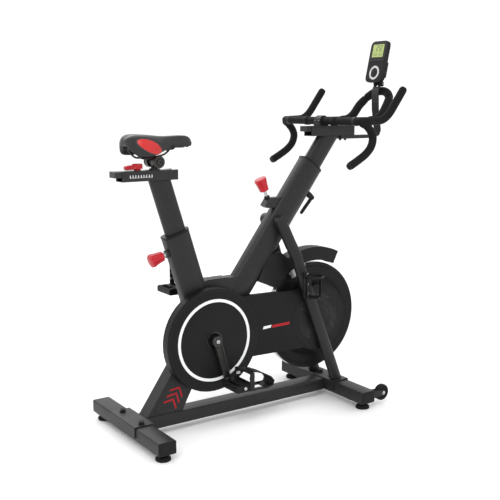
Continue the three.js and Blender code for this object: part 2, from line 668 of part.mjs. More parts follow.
// ---- Brake ----
const arc = (inner, outer, start, end, count = 16) => {
  const points = [];
  for (let k = 0; k <= count; k += 1) {
    const angle = (start + (end - start) * k / count) * degree;
    points.push([flywheelX + outer * Math.cos(angle), flywheelZ + outer * Math.sin(angle)]);
  }
  for (let k = count; k >= 0; k -= 1) {
    const angle = (start + (end - start) * k / count) * degree;
    points.push([flywheelX + inner * Math.cos(angle), flywheelZ + inner * Math.sin(angle)]);
  }
  return points;
};
const onArc = (radius, angle) => [
  flywheelX + radius * Math.cos(angle * degree), flywheelZ + radius * Math.sin(angle * degree)];
const bridgeOutline = [[590, 540], onArc(fenderInner + 8, fenderEnd), onArc(fenderOuter - 1, 130),
  onArc(fenderOuter, 118), [700, 648], [640, 640]];
const fender = cut(
  join(sidePlate(arc(fenderInner, fenderOuter, fenderStart, fenderEnd), -fenderHalfWidth, fenderHalfWidth),
    sidePlate(bridgeOutline, -fenderHalfWidth, fenderHalfWidth)),
  sidePlate(arc(fenderInner - 5, fenderOuter - fenderWall, fenderStart + 1, fenderEnd - 1),
    -fenderHalfWidth + fenderWall, fenderHalfWidth - fenderWall),
  headTubeSolid(gap));
add('brake_housing', fender, blackPlastic, [flywheelX, 0, flywheelZ + fenderOuter]);
const magnetArc = (inner, outer) => arc(inner, outer, magnetMiddle - 11, magnetMiddle + 11, 6);
add('magnet_bracket', join(
  sidePlate(magnetArc(fenderInner + 6, fenderInner + 12), -22, 22),
  sidePlate(magnetArc(fenderInner - 36, fenderInner + 8), -22, -17),
  sidePlate(magnetArc(fenderInner - 36, fenderInner + 8), 17, 22)), steel,
[...[onArc(fenderInner, magnetMiddle)[0]], 0, onArc(fenderInner, magnetMiddle)[1]]);

// ---- Resistance knob and bracket on the rear of the head tube ----
const bracketOutline = [[630, 838], [652, 868], [735, 868], [700, 828], [645, 828]];
add('resistance_bracket', cut(sidePlate(bracketOutline, -18, 18), headTubeSolid(gap)), charcoal, [652, 0, 850]);
const knobFoot = [639, 897];
const knobTop = [617, 946];
const knobRun = Math.hypot(knobTop[0] - knobFoot[0], knobTop[1] - knobFoot[1]);
const knobWay = [(knobTop[0] - knobFoot[0]) / knobRun, (knobTop[1] - knobFoot[1]) / knobRun];
const alongKnob = (s) => [knobFoot[0] + knobWay[0] * s, 0, knobFoot[1] + knobWay[1] * s];
const shaftReach = (knobFoot[0] - bracketOutline[1][0]) * knobWay[0] + (knobFoot[1] - bracketOutline[1][1]) * knobWay[1];
const knobShaft = rod(alongKnob(2 * gap - shaftReach), alongKnob(5), 6, 6, 16);
add('resistance_knob', join(
  rod(alongKnob(0), alongKnob(38), 19, 24, 20), rod(alongKnob(37), alongKnob(48), 25.5, 25.5, 12),
  rod(alongKnob(47), alongKnob(knobRun), 25.5, 21, 12), knobShaft), red, alongKnob(0));

// ---- L-shaped lever on the front of the head tube ----
const frontFace = (s, out) => [
  headTopX + headDirection[0] * s + headDirection[1] * (sleeveLength / 2 + out), 0,
  headTopZ + headDirection[1] * s - headDirection[0] * (sleeveLength / 2 + out)];
const leverAt = -101;
add('post_clamp_lever', join(
  rod(frontFace(leverAt, gap), frontFace(leverAt, 26), 12, 11, 20),
  rod(frontFace(leverAt, 18), frontFace(leverAt, 38), 9, 9, 16),
  rod(frontFace(leverAt + 8, 29), frontFace(leverAt - 88, 24), 8, 6, 16)), blackPlastic, frontFace(leverAt, 0));

// ---- Seat-post knob on the rear of the seat sleeve ----
const rearFace = (s, out) => [
  seatTopX + seatDirection[0] * s - seatDirection[1] * (sleeveLength / 2 + out), 0,
  seatTopZ + seatDirection[1] * s + seatDirection[0] * (sleeveLength / 2 + out)];
const seatKnobAt = -56;
add('seat_post_knob', join(
  rod(rearFace(seatKnobAt, gap), rearFace(seatKnobAt, 26), 10, 10, 20),
  rod(rearFace(seatKnobAt, 24), rearFace(seatKnobAt, 60), 20, 24, 20),
  rod(rearFace(seatKnobAt, 59), rearFace(seatKnobAt, 74), 26.5, 26.5, 12),
  rod(rearFace(seatKnobAt, 73), rearFace(seatKnobAt, 80), 26.5, 21, 12)), red, rearFace(seatKnobAt, 0));

// ---- Saddle carriage ----
const channel = (x0, run, z0, height) => {
  const half = slideBoxWidth / 2;
  return cut(block(x0, x0 + run, -half, half, z0, z0 + height),
    block(x0 - 5, x0 + run + 5, -half + slideBoxWall, half - slideBoxWall, z0 + slideBoxWall, z0 + height + 5));
};
const sliderHalf = slideBoxWidth / 2 - slideBoxWall - gap;
add('seat_slide_box', channel(seatBoxRear, seatBoxRun, seatBoxZ, seatBoxHeight), charcoal,
  [seatBoxRear, 0, seatBoxZ]);
const stubRadius = 13;
const clampBarrel = 15;
add('seat_slider', join(
  block(seatSliderRear, seatSliderRear + seatSliderRun, -sliderHalf, sliderHalf, seatSliderTop - sliderHeight,
    seatSliderTop),
  rod([clampX, 0, seatSliderTop - 1], [clampX, 0, seatSliderTop + 5], 20, 20, 24),
  cut(rod([clampX, 0, seatSliderTop], [clampX, 0, clampZ], stubRadius, stubRadius, 24),
    discY(clampX, clampZ, clampBarrel + gap, -far, far, 32))), steel, [seatSliderRear, 0, seatSliderTop]);

const railPath = (y) => smooth([[56, y, 1082], [66, y, 1066], [88, y, 1046], [112, y, 1044], [150, y, 1050],
  [176, y, 1056], [194, y, 1068], [206, y, 1084]], 18);
const railSolid = (side, grow) => sweep(railPath(side * railSpread), roundLoop(railRadius + grow, 10), [0, 1, 0]);
const saddleStations = [
  [28, 34, 1118, 1084, 1094], [34, 54, 1124, 1066, 1090], [48, 72, 1128, 1054, 1086], [72, 80, 1129, 1050, 1082],
  [104, 77, 1127, 1052, 1080], [136, 62, 1122, 1056, 1080], [166, 46, 1117, 1058, 1080],
  [196, 34, 1113, 1064, 1082], [232, 27, 1109, 1070, 1081], [268, 23, 1105, 1074, 1080],
  [292, 18, 1100, 1078, 1082], [305, 9, 1094, 1082, 1084]];
const saddleRing = ([x, half, top, skirt, belly]) => {
  const side = [[0.32, top + 1], [0.64, top - 3], [0.88, top - 12], [1, top - 28 * (top - skirt) / 70],
    [0.97, skirt + 6], [0.9, skirt], [0.78, skirt + 4], [0.55, belly]];
  const left = side.map(([f, z]) => [x, f * half, z]);
  const right = side.slice().reverse().map(([f, z]) => [x, -f * half, z]);
  return [[x, 0, top - 1], ...left, [x, 0, belly], ...right];
};
const saddleSolid = loft(saddleStations.map(saddleRing));
add('saddle', saddleSolid, leather, [clampX, 0, 1100]);
[['left', 1], ['right', -1]].forEach(([side, sign]) => {
  const grown = loft(saddleStations.map(([x, half, top, skirt, belly]) => saddleRing(
    [x, half, top, skirt - 2 * gap, belly - gap])));
  add(`saddle_rail_${side}`, cut(railSolid(sign, 0), grown), steel, [clampX, sign * railSpread, clampZ]);
});
const clampReach = railSpread + 9;
add('saddle_clamp', cut(join(
  discY(clampX, clampZ, clampBarrel, -clampReach, clampReach, 32),
  discY(clampX, clampZ, clampDiscRadius, railSpread - 8, railSpread + 8, 24),
  discY(clampX, clampZ, clampDiscRadius, -railSpread - 8, -railSpread + 8, 24),
  discY(clampX, clampZ, 9, -clampReach - 6, clampReach + 6, 6)),
railSolid(1, gap), railSolid(-1, gap)), darkSteel, [clampX, 0, clampZ]);
const sliderKnob = (x, base) => join(
  rod([x, 0, base + gap], [x, 0, base + 8], 12, 12, 20), rod([x, 0, base + 7], [x, 0, base + 25], 20, 18, 12),
  block(x - 44, x, -9, 9, base + 9, base + 17), rod([x - 44, 0, base + 9], [x - 44, 0, base + 17], 9, 9, 16));
add('seat_slider_knob', sliderKnob(81, seatSliderTop), red, [81, 0, seatSliderTop]);

// ---- Handlebar carriage ----
add('handlebar_slide_box', channel(handlebarBoxRear, handlebarBoxRun, handlebarBoxZ, handlebarBoxHeight), charcoal,
  [handlebarBoxRear, 0, handlebarBoxZ]);
const crossbar = (radius, reach) => discY(barX, barZ, radius, -reach, reach, 20);
const cradle = cut(join(
  block(barX - 24, barX + 24, -19, 19, handlebarSliderTop - 1, barZ),
  discY(barX, barZ, barRadius + 6, -19, 19, 32)), crossbar(barRadius + gap, far));
add('handlebar_slider', join(
  block(handlebarSliderRear, handlebarSliderRear + handlebarSliderRun, -sliderHalf, sliderHalf,
    handlebarSliderTop - sliderHeight, handlebarSliderTop), cradle), darkSteel,
[handlebarSliderRear, 0, handlebarSliderTop]);
add('handlebar_slider_knob', join(
  rod([988, 0, handlebarSliderTop + gap], [988, 0, handlebarSliderTop + 9], 12, 12, 20),
  rod([988, 0, handlebarSliderTop + 8], [988, 0, handlebarSliderTop + 34], 22, 19, 12)), red,
[988, 0, handlebarSliderTop]);

const barLoop = roundLoop(barRadius, 12);
const hornPath = (y) => smooth([[barX, y, barZ + 1], [975, y, 1171], [1025, y, 1173], [1057, y, 1194],
  [1095, y, 1242], [1131, y, 1290]], 11);
const hookPath = (y) => smooth([[barX - 2, y, barZ - 2], [942, y, 1150], [966, y, 1128], [977, y, 1102], [968, y, 1070],
  [943, y, 1044], [905, y, 1021], [864, y, 1000]], 13);
const sideBar = (y) => join(sweep(hornPath(y), barLoop, [0, 1, 0]), sweep(hookPath(y), barLoop, [0, 1, 0]),
  discY(barX, barZ, barRadius + 2, y - 17, y + 17, 20));
add('handlebar', join(crossbar(barRadius, barHalfSpan), sideBar(barHalfSpan), sideBar(-barHalfSpan)), rubber,
  [barX, 0, barZ]);

const loopStart = barX + 2;
const loopHalf = [[loopStart, loopHalfSpan, barZ], [1040, loopHalfSpan, barZ], [1090, loopHalfSpan, 1168],
  [1140, loopHalfSpan, 1172], [1172, loopHalfSpan - 1, 1190], [1205, loopHalfSpan - 5, 1231],
  [1238, loopHalfSpan - 24, 1268], [1249, loopHalfSpan - 58, 1287]];
const loopWay = [...loopHalf, [1251, 0, 1290], ...loopHalf.slice().reverse().map(([x, y, z]) => [x, -y, z])];
add('aero_loop', cut(sweep(smooth(loopWay, 40), roundLoop(loopRadius, 10), [0, 1, 0]),
  crossbar(barRadius + gap, far)), rubber, [barX, 0, barZ]);

// ---- Console ----
const stripRear = 1015;
const stripFront = 1205;
const bracketHalf = 20;
const lugHalf = 8;
const hingeRadius = 7;
const armPath = [[stripFront - 20, 1100], [stripFront + 6, 1100], [1226, 1106], [1234, 1124], [1229, 1160],
  [1220, 1210], [1217, 1270], [1220, 1300], [hingeX - 4, hingeZ - 3]];
const bracketTop = handlebarBoxZ - gap;
const knuckle = discY(hingeX, hingeZ, hingeRadius, -bracketHalf, bracketHalf, 20);
const lugRoom = block(hingeX - 30, hingeX + 30, -lugHalf - gap, lugHalf + gap, hingeZ - 11, hingeZ + 30);
add('console_bracket', cut(join(
  block(stripRear, stripFront, -bracketHalf, bracketHalf, bracketTop - 14, bracketTop),
  ribbon(armPath, 6, -bracketHalf, bracketHalf), knuckle), lugRoom), charcoal, [stripRear, 0, bracketTop]);

const tilt = consoleLean * degree;
const onConsole = (x, z) => [
  consoleX + x * Math.cos(tilt) + z * Math.sin(tilt), consoleZ - x * Math.sin(tilt) + z * Math.cos(tilt)];
const consoleRing = (depth, inset) => roundedBox(-consoleWidth / 2 + inset, consoleWidth / 2 - inset, inset,
  consoleHeight - inset, 20 - inset).map(([y, h]) => {
  const [x, z] = onConsole(depth, h);
  return [x, y, z];
});
const caseSolid = loft([consoleRing(0, 3), consoleRing(3, 0), consoleRing(consoleThickness - 4, 0),
  consoleRing(consoleThickness, 4)]);
const bumpOutline = [onConsole(12, 30), onConsole(consoleThickness + 14, 38), onConsole(consoleThickness + 14, 112),
  onConsole(12, 120)];
const lugOutline = [onConsole(6, 1), onConsole(consoleThickness - 2, 8), [hingeX + hingeRadius, hingeZ + 2],
  [hingeX, hingeZ - hingeRadius], [hingeX - hingeRadius, hingeZ - 2]];
const buttonPocket = rod([onConsole(-5, buttonRise)[0], 0, onConsole(-5, buttonRise)[1]],
  [onConsole(5, buttonRise)[0], 0, onConsole(5, buttonRise)[1]], buttonRadius + gap, buttonRadius + gap, 28);
const consoleLug = join(discY(hingeX, hingeZ, hingeRadius, -lugHalf, lugHalf, 20),
  sidePlate(lugOutline, -lugHalf, lugHalf));
add('console', cut(join(caseSolid, sidePlate(bumpOutline, -28, 28), consoleLug), buttonPocket), blackPlastic,
  [hingeX, 0, hingeZ]);
const buttonFrom = onConsole(-2.5, buttonRise);
const buttonTo = onConsole(3, buttonRise);
add('console_button', rod([buttonFrom[0], 0, buttonFrom[1]], [buttonTo[0], 0, buttonTo[1]], buttonRadius,
  buttonRadius, 28), steel, [buttonFrom[0], 0, buttonFrom[1]]);

// ---- Bottle cage on the right fork leg ----
const cageX = 790;
const cageBack = -forkInner - forkWidth - gap;
const bottleRadius = 37;
const wire = 4;
const bottleY = cageBack - 4 - bottleRadius - 2;
const ringAt = (z, radius) => {
  const outer = rod([cageX, bottleY, z - wire], [cageX, bottleY, z + wire], radius + wire, radius + wire, 28);
  const inner = rod([cageX, bottleY, z - 20], [cageX, bottleY, z + 20], radius - wire, radius - wire, 28);
  return cut(outer, inner);
};
const cagePlate = block(cageX - 20, cageX + 20, cageBack - 4, cageBack, 462, 566);
const cageSlots = [484, 526].map((z) => block(cageX - 4, cageX + 4, cageBack - 20, cageBack + 5, z, z + 22));
const cageShelf = join(
  rod([cageX, bottleY, 466], [cageX, bottleY, 471], 26, 26, 28),
  block(cageX - 10, cageX + 10, bottleY, cageBack - 1, 466, 471));
const cageArms = block(cageX - 34, cageX + 34, bottleY - 4, bottleY + 4, 466, 470.9);
add('bottle_cage', join(cut(cagePlate, ...cageSlots), ringAt(554, bottleRadius),
  block(cageX - 12, cageX + 12, cageBack - 10, cageBack - 1, 550, 558), cageShelf, cageArms,
  ...[-1, 1].map((sign) => block(cageX + sign * 35 - 2, cageX + sign * 35 + 2, bottleY - 6, bottleY + 6, 466, 556))),
blackPlastic, [cageX, cageBack, 466]);

const box = new THREE.Box3().setFromObject(group);
group.position.set(-(box.min.x + box.max.x) / 2, -(box.min.y + box.max.y) / 2, -box.min.z);
group.updateMatrixWorld(true);

export default group;
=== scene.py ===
import json
import math

import bmesh
import bpy
import numpy as np
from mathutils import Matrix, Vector
from mathutils.bvhtree import BVHTree


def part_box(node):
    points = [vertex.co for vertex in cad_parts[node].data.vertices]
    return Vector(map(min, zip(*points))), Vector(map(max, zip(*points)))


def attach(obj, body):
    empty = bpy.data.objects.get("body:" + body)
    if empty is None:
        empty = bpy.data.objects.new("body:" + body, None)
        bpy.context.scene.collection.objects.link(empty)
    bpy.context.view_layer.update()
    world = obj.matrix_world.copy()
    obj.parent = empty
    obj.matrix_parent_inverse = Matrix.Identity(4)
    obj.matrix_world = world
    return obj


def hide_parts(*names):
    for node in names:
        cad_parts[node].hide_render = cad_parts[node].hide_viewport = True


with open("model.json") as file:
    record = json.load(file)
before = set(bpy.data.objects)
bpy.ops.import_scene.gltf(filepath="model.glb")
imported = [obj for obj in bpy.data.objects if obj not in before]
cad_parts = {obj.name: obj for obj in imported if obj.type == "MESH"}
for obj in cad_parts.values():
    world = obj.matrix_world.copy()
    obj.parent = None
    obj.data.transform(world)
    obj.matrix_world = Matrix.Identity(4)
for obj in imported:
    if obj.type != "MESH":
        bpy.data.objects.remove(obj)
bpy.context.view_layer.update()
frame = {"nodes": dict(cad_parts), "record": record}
NODES = frame["nodes"]
BODY_OF = {n: b for b, members in frame["record"]["behaviour"]["bodies"].items() for n in members}
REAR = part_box("rear_stabiliser")[0].x


def at(x, y, z):
    """A point given in millimetres from the rear face of the rear stabiliser, the middle and the floor."""
    return Vector((REAR + x / 1000, y / 1000, z / 1000))


# ---------------------------------------------------------------- materials
def material(name, base, rough, metal=0.0, grain=1500.0, bump=0.06, vary=0.12, wear=0.0, coat=0.0,
             worn=(0.09, 0.09, 0.095), rough_vary=0.1, pattern="noise", spec=0.5):
    m = bpy.data.materials.new(name)
    m.use_nodes = True
    n, link = m.node_tree.nodes, m.node_tree.links
    bsdf = n["Principled BSDF"]
    coord = n.new("ShaderNodeTexCoord")
    cloud = n.new("ShaderNodeTexNoise")
    cloud.inputs["Scale"].default_value = 9.0
    cloud.inputs["Detail"].default_value = 6.0
    cloud.inputs["Roughness"].default_value = 0.6
    link.new(coord.outputs["Object"], cloud.inputs["Vector"])
    tint = n.new("ShaderNodeMix")
    tint.data_type = "RGBA"
    tint.inputs[6].default_value = (*[c * (1 - vary) for c in base], 1)
    tint.inputs[7].default_value = (*[min(1, c * (1 + vary)) for c in base], 1)
    link.new(cloud.outputs["Fac"], tint.inputs[0])
    colour = tint.outputs[2]
    if wear:
        geo = n.new("ShaderNodeNewGeometry")
        edge = n.new("ShaderNodeMapRange")
        edge.inputs["From Min"].default_value = 0.52
        edge.inputs["From Max"].default_value = 0.62
        edge.inputs["To Max"].default_value = wear
        link.new(geo.outputs["Pointiness"], edge.inputs["Value"])
        patchy = n.new("ShaderNodeTexNoise")
        patchy.inputs["Scale"].default_value = 60.0
        link.new(coord.outputs["Object"], patchy.inputs["Vector"])
        both = n.new("ShaderNodeMath")
        both.operation = "MULTIPLY"
        link.new(edge.outputs["Result"], both.inputs[0])
        link.new(patchy.outputs["Fac"], both.inputs[1])
        mix = n.new("ShaderNodeMix")
        mix.data_type = "RGBA"
        mix.inputs[7].default_value = (*worn, 1)
        link.new(both.outputs[0], mix.inputs[0])
        link.new(colour, mix.inputs[6])
        colour = mix.outputs[2]
    link.new(colour, bsdf.inputs["Base Color"])
    shine = n.new("ShaderNodeMapRange")
    shine.inputs["To Min"].default_value = max(0.03, rough - rough_vary)
    shine.inputs["To Max"].default_value = min(1.0, rough + rough_vary)
    link.new(cloud.outputs["Fac"], shine.inputs["Value"])
    link.new(shine.outputs["Result"], bsdf.inputs["Roughness"])
    if pattern == "leather":
        fine = n.new("ShaderNodeTexVoronoi")
        fine.feature = "DISTANCE_TO_EDGE"
        height = fine.outputs["Distance"]
    else:
        fine = n.new("ShaderNodeTexNoise")
        fine.inputs["Detail"].default_value = 3.0 if pattern == "brushed" else 2.0
        height = fine.outputs["Fac"]
    fine.inputs["Scale"].default_value = grain
    link.new(coord.outputs["Object"], fine.inputs["Vector"])
    relief = n.new("ShaderNodeBump")
    relief.inputs["Strength"].default_value = bump
    relief.inputs["Distance"].default_value = 0.0004
    link.new(height, relief.inputs["Height"])
    link.new(relief.outputs["Normal"], bsdf.inputs["Normal"])
    bsdf.inputs["Metallic"].default_value = metal
    bsdf.inputs["Specular IOR Level"].default_value = spec
    bsdf.inputs["Coat Weight"].default_value = coat
    bsdf.inputs["Coat Roughness"].default_value = 0.25
    return m


PAINT = material("powder_coat", (0.0098, 0.0099, 0.0108), 0.43, 0.1, 1400, 0.10, 0.12, 0.30, spec=0.26)
PAINT_LIGHT = material("slider_coat", (0.017, 0.0172, 0.0190), 0.40, 0.15, 1400, 0.08, 0.1, 0.35, spec=0.34)
PLASTIC = material("black_plastic", (0.0040, 0.0040, 0.0043), 0.46, 0, 2200, 0.10, 0.15, 0.2, spec=0.16)
GUARD = material("guard_plastic", (0.0046, 0.0046, 0.0049), 0.46, 0, 2600, 0.14, 0.10, 0.2, spec=0.16)
COVER = material("cover_plastic", (0.0060, 0.0060, 0.0064), 0.44, 0, 2600, 0.10, 0.10, 0.2, spec=0.18)
GLOSS = material("gloss_plastic", (0.005, 0.005, 0.0055), 0.22, 0, 900, 0.02, 0.1, coat=0.1, spec=0.3)
RUBBER = material("rubber", (0.006, 0.006, 0.006), 0.75, 0, 1200, 0.25, 0.2, spec=0.2)
FOAM = material("foam_grip", (0.0060, 0.0060, 0.0063), 0.62, 0, 3200, 0.40, 0.15, spec=0.10)
BAR = material("bar_coat", (0.0060, 0.0060, 0.0065), 0.45, 0.0, 1800, 0.08, 0.12, 0.2, spec=0.12)
STEEL = material("zinc_steel", (0.42, 0.42, 0.43), 0.30, 1.0, 700, 0.06, 0.12)
POLISHED = material("polished_rim", (0.40, 0.41, 0.42), 0.20, 1.0, 900, 0.04, 0.08, pattern="brushed")
DARK = material("dark_coated_steel", (0.010, 0.0095, 0.0090), 0.34, 0.2, 1100, 0.08, 0.2, 0.45,
                worn=(0.16, 0.15, 0.14), spec=0.4)
IRON = material("painted_iron", (0.0034, 0.0034, 0.0037), 0.44, 0.0, 500, 0.22, 0.2, 0.3, spec=0.15)
RED = material("red_plastic", (0.38, 0.004, 0.012), 0.28, 0, 1300, 0.05, 0.1, 0.2, worn=(0.6, 0.1, 0.1),
               coat=0.1, spec=0.25)
RED_PRINT = material("red_print", (0.34, 0.008, 0.014), 0.5, 0, 1800, 0.05, 0.1, spec=0.2)
WHITE_PRINT = material("white_print", (0.70, 0.70, 0.70), 0.5, 0, 1800, 0.05, 0.04)
WHITE = material("white_plastic", (0.72, 0.73, 0.73), 0.38, 0, 1500, 0.05, 0.04)
SILVER = material("silver_ring", (0.50, 0.50, 0.51), 0.34, 0.6, 1500, 0.05, 0.05)
LCD = material("lcd_glass", (0.36, 0.44, 0.15), 0.30, 0, 300, 0.01, 0.05, spec=0.2)
INK = material("lcd_ink", (0.035, 0.045, 0.03), 0.5, 0, 300, 0.01, 0.05)
THREAD = material("thread", (0.05, 0.05, 0.05), 0.8, 0, 3000, 0.3, 0.2)
STRAP = material("strap_plastic", (0.006, 0.006, 0.006), 0.44, 0, 2600, 0.12, 0.15, spec=0.24)


# ---------------------------------------------------------------- mesh tools
def build(name, verts, faces, mat, body, smooth=35, bevel=0.0, segments=3, sub=0, angle=35):
    mesh = bpy.data.meshes.new(name)
    mesh.from_pydata([tuple(v) for v in verts], [], faces)
    mesh.validate()
    bm = bmesh.new()
    bm.from_mesh(mesh)
    bmesh.ops.remove_doubles(bm, verts=bm.verts, dist=1e-6)
    bmesh.ops.recalc_face_normals(bm, faces=bm.faces)
    bm.to_mesh(mesh)
    bm.free()
    obj = bpy.data.objects.new(name, mesh)
    bpy.context.scene.collection.objects.link(obj)
    return dress(obj, mat, body, smooth, bevel, segments, sub, angle)


def dress(obj, mat, body=None, smooth=35, bevel=0.0, segments=3, sub=0, angle=35):
    mesh = obj.data
    mesh.materials.clear()
    mesh.materials.append(mat)
    mesh.polygons.foreach_set("use_smooth", [True] * len(mesh.polygons))
    mesh.set_sharp_from_angle(angle=math.radians(smooth))
    if bevel:
        mod = obj.modifiers.new("bevel", "BEVEL")
        mod.width = bevel
        mod.segments = segments
        mod.limit_method = "ANGLE"
        mod.angle_limit = math.radians(angle)
        mod.harden_normals = True
        mod.use_clamp_overlap = True
    if sub:
        mod = obj.modifiers.new("subsurf", "SUBSURF")
        mod.levels = mod.render_levels = sub
    if body:
        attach(obj, body)
    return obj


def stands_for(obj, *nodes):
    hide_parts(*nodes)
    return obj


def spline(points, count):
    """Centripetal curve through the points, evenly spaced."""
    p = np.array(points, float)
    p = np.vstack([2 * p[0] - p[1], p, 2 * p[-1] - p[-2]])
    out = []
    for i in range(1, len(p) - 2):
        p0, p1, p2, p3 = p[i - 1:i + 3]
        t = [0.0]
        for a, b in ((p0, p1), (p1, p2), (p2, p3)):
            t.append(t[-1] + max(np.linalg.norm(b - a), 1e-6) ** 0.5)
        for s in np.linspace(t[1], t[2], 24, endpoint=False):
            a1 = (t[1] - s) / (t[1] - t[0]) * p0 + (s - t[0]) / (t[1] - t[0]) * p1
            a2 = (t[2] - s) / (t[2] - t[1]) * p1 + (s - t[1]) / (t[2] - t[1]) * p2
            a3 = (t[3] - s) / (t[3] - t[2]) * p2 + (s - t[2]) / (t[3] - t[2]) * p3
            b1 = (t[2] - s) / (t[2] - t[0]) * a1 + (s - t[0]) / (t[2] - t[0]) * a2
            b2 = (t[3] - s) / (t[3] - t[1]) * a2 + (s - t[1]) / (t[3] - t[1]) * a3
            out.append((t[2] - s) / (t[2] - t[1]) * b1 + (s - t[1]) / (t[2] - t[1]) * b2)
    out.append(p[-2])
    out = np.array(out)
    run = np.concatenate([[0], np.cumsum(np.linalg.norm(np.diff(out, axis=0), axis=1))])
    even = np.linspace(0, run[-1], count)
    return np.stack([np.interp(even, run, out[:, k]) for k in range(3)], 1)


def rings_of(path, loops, first):
    """Loops of (u, v) carried along a path; u starts along the given direction."""
    across = np.array(first, float)
    rings = []
    for i, p in enumerate(path):
        along = path[min(i + 1, len(path) - 1)] - path[max(i - 1, 0)]
        along = along / np.linalg.norm(along)
        across = across - along * (across @ along)
        across = across / np.linalg.norm(across)
        up = np.cross(along, across)
        rings.append([p + across * u + up * v for u, v in loops[i]])
    return rings


def skin(rings, closed=False):
    count = len(rings[0])
    verts = [v for r in rings for v in r]
    faces = []
    last = len(rings) if closed else len(rings) - 1
    for s in range(last):
        for i in range(count):
            a, b = s * count + i, s * count + (i + 1) % count
            t = ((s + 1) % len(rings)) * count
            faces.append((a, b, t + (i + 1) % count, t + i))
    if not closed:
        faces.append(tuple(range(count)))
        faces.append(tuple(reversed(range((len(rings) - 1) * count, len(rings) * count))))
    return verts, faces


def ring_loop(radius, count=20):
    return [(radius * math.cos(2 * math.pi * k / count), radius * math.sin(2 * math.pi * k / count))
            for k in range(count)]


def tube(points, radius, mat, body, name, count=60, sides=20, first=(0, 1, 0), round_ends=True, curve=True,
         radii=None):
    """Round bar along points in millimetres, with domed ends."""
    raw = [np.array(at(*p)) for p in points]
    path = spline(raw, count) if curve else np.array(raw)
    sizes = [radius] * len(path) if radii is None else list(
        np.interp(np.linspace(0, 1, len(path)), np.linspace(0, 1, len(radii)), radii))
    sizes = [s / 1000 for s in sizes]
    if round_ends:
        for end in (0, -1):
            r = sizes[end]
            step = path[end] - path[1 if end == 0 else -2]
            step = step / np.linalg.norm(step)
            dome = [(path[end] + step * r * 0.55 * math.sin(a), r * math.cos(a) ** 0.8) for a in
                    (0.35, 0.75, 1.1, 1.35, 1.5)]
            if end == 0:
                path = np.vstack([[d[0] for d in reversed(dome)], path])
                sizes = [d[1] for d in reversed(dome)] + sizes
            else:
                path = np.vstack([path, [d[0] for d in dome]])
                sizes = sizes + [d[1] for d in dome]
    verts, faces = skin(rings_of(path, [ring_loop(s, sides) for s in sizes], first))
    return build(name, verts, faces, mat, body, smooth=50)


def lathe(profile, origin, axis, mat, body, name, count=48, smooth=30, flutes=0, depth=0.0, fluted=(0, 0)):
    """Profile of (radius, distance along the axis) in millimetres, turned about the axis."""
    axis = Vector(axis).normalized()
    side = axis.orthogonal().normalized()
    other = axis.cross(side)
    verts, faces = [], []
    for r, s in profile:
        for k in range(count):
            a = 2 * math.pi * k / count
            rr = r
            if flutes and fluted[0] <= s <= fluted[1]:
                rr = r * (1 - depth * (0.5 - 0.5 * math.cos(flutes * a)) ** 1.5)
            around = side * math.cos(a) + other * math.sin(a)
            verts.append(origin + axis * (s / 1000) + around * (rr / 1000))
    for j in range(len(profile) - 1):
        for k in range(count):
            a, b = j * count + k, j * count + (k + 1) % count
            faces.append((a, b, b + count, a + count))
    closed = profile[0] == profile[-1]
    if not closed:
        faces.append(tuple(range(count)))
        faces.append(tuple(reversed(range((len(profile) - 1) * count, len(profile) * count))))
    return build(name, verts, faces, mat, body, smooth=smooth)


def mirrored(half):
    """Closed profile from its lower half, reflected about its middle."""
    return half + [(r, -s) for r, s in reversed(half)] + [half[0]]


def plate(outline, y0, y1, mat, body, name, bevel=0.8, segments=3, smooth=30):
    """Side outline in millimetres carried across from y0 to y1."""
    n = len(outline)
    verts = [at(x, y0, z) for x, z in outline] + [at(x, y1, z) for x, z in outline]
    faces = [tuple(range(n)), tuple(reversed(range(n, 2 * n)))]
    faces += [(i, (i + 1) % n, n + (i + 1) % n, n + i) for i in range(n)]
    return build(name, verts, faces, mat, body, smooth=smooth, bevel=bevel / 1000, segments=segments)


def box(x0, x1, y0, y1, z0, z1, mat, body, name, bevel=1.0, segments=3):
    return plate([(x0, z0), (x1, z0), (x1, z1), (x0, z1)], y0, y1, mat, body, name, bevel, segments)


def band(points, thickness, y0, y1, mat, body, name, bevel=0.6, count=40):
    """Strip of sheet bent along a side path."""
    path = spline([(x, 0, z) for x, z in points], count)
    left, right = [], []
    for i, p in enumerate(path):
        t = path[min(i + 1, len(path) - 1)] - path[max(i - 1, 0)]
        t = t / np.linalg.norm(t)
        left.append((p[0] - t[2] * thickness / 2, p[2] + t[0] * thickness / 2))
        right.append((p[0] + t[2] * thickness / 2, p[2] - t[0] * thickness / 2))
    n = len(left)
    verts = [at(x, y, z) for y in (y0, y1) for x, z in left + right]
    m = 2 * n
    faces = []
    for i in range(n - 1):
        faces.append((i, i + 1, m + i + 1, m + i))
        faces.append((n + i, m + n + i, m + n + i + 1, n + i + 1))
        faces.append((i, n + i, n + i + 1, i + 1))
        faces.append((m + i, m + i + 1, m + n + i + 1, m + n + i))
    faces.append((0, m, m + n, n))
    faces.append((n - 1, 2 * n - 1, m + 2 * n - 1, m + n - 1))
    return build(name, verts, faces, mat, body, smooth=40, bevel=bevel / 1000, segments=2, angle=50)


def bolt(origin, axis, radius, mat, body, name, height=4.0, hexagon=True):
    """Socket-head or hexagon bolt with a washer, seated at origin."""
    axis = Vector(axis).normalized()
    lathe([(0.01, 0), (radius * 1.45, 0), (radius * 1.5, 0.3), (radius * 1.5, 1.1), (radius * 1.4, 1.5),
           (0.01, 1.5)], origin, axis, mat, body, name + "_washer", 32)
    if hexagon:
        return lathe([(0.01, 1.4), (radius * 1.05, 1.4), (radius * 1.05, height),
                      (radius * 0.9, height + 1.0),
                      (0.01, height + 1.2)], origin, axis, mat, body, name, 6, smooth=20)
    return lathe([(0.01, 1.4), (radius, 1.4), (radius, height - 1), (radius * 0.85, height),
                  (radius * 0.5, height),
                  (radius * 0.5, height - 1.8), (0.01, height - 1.8)], origin, axis, mat, body, name, 24)


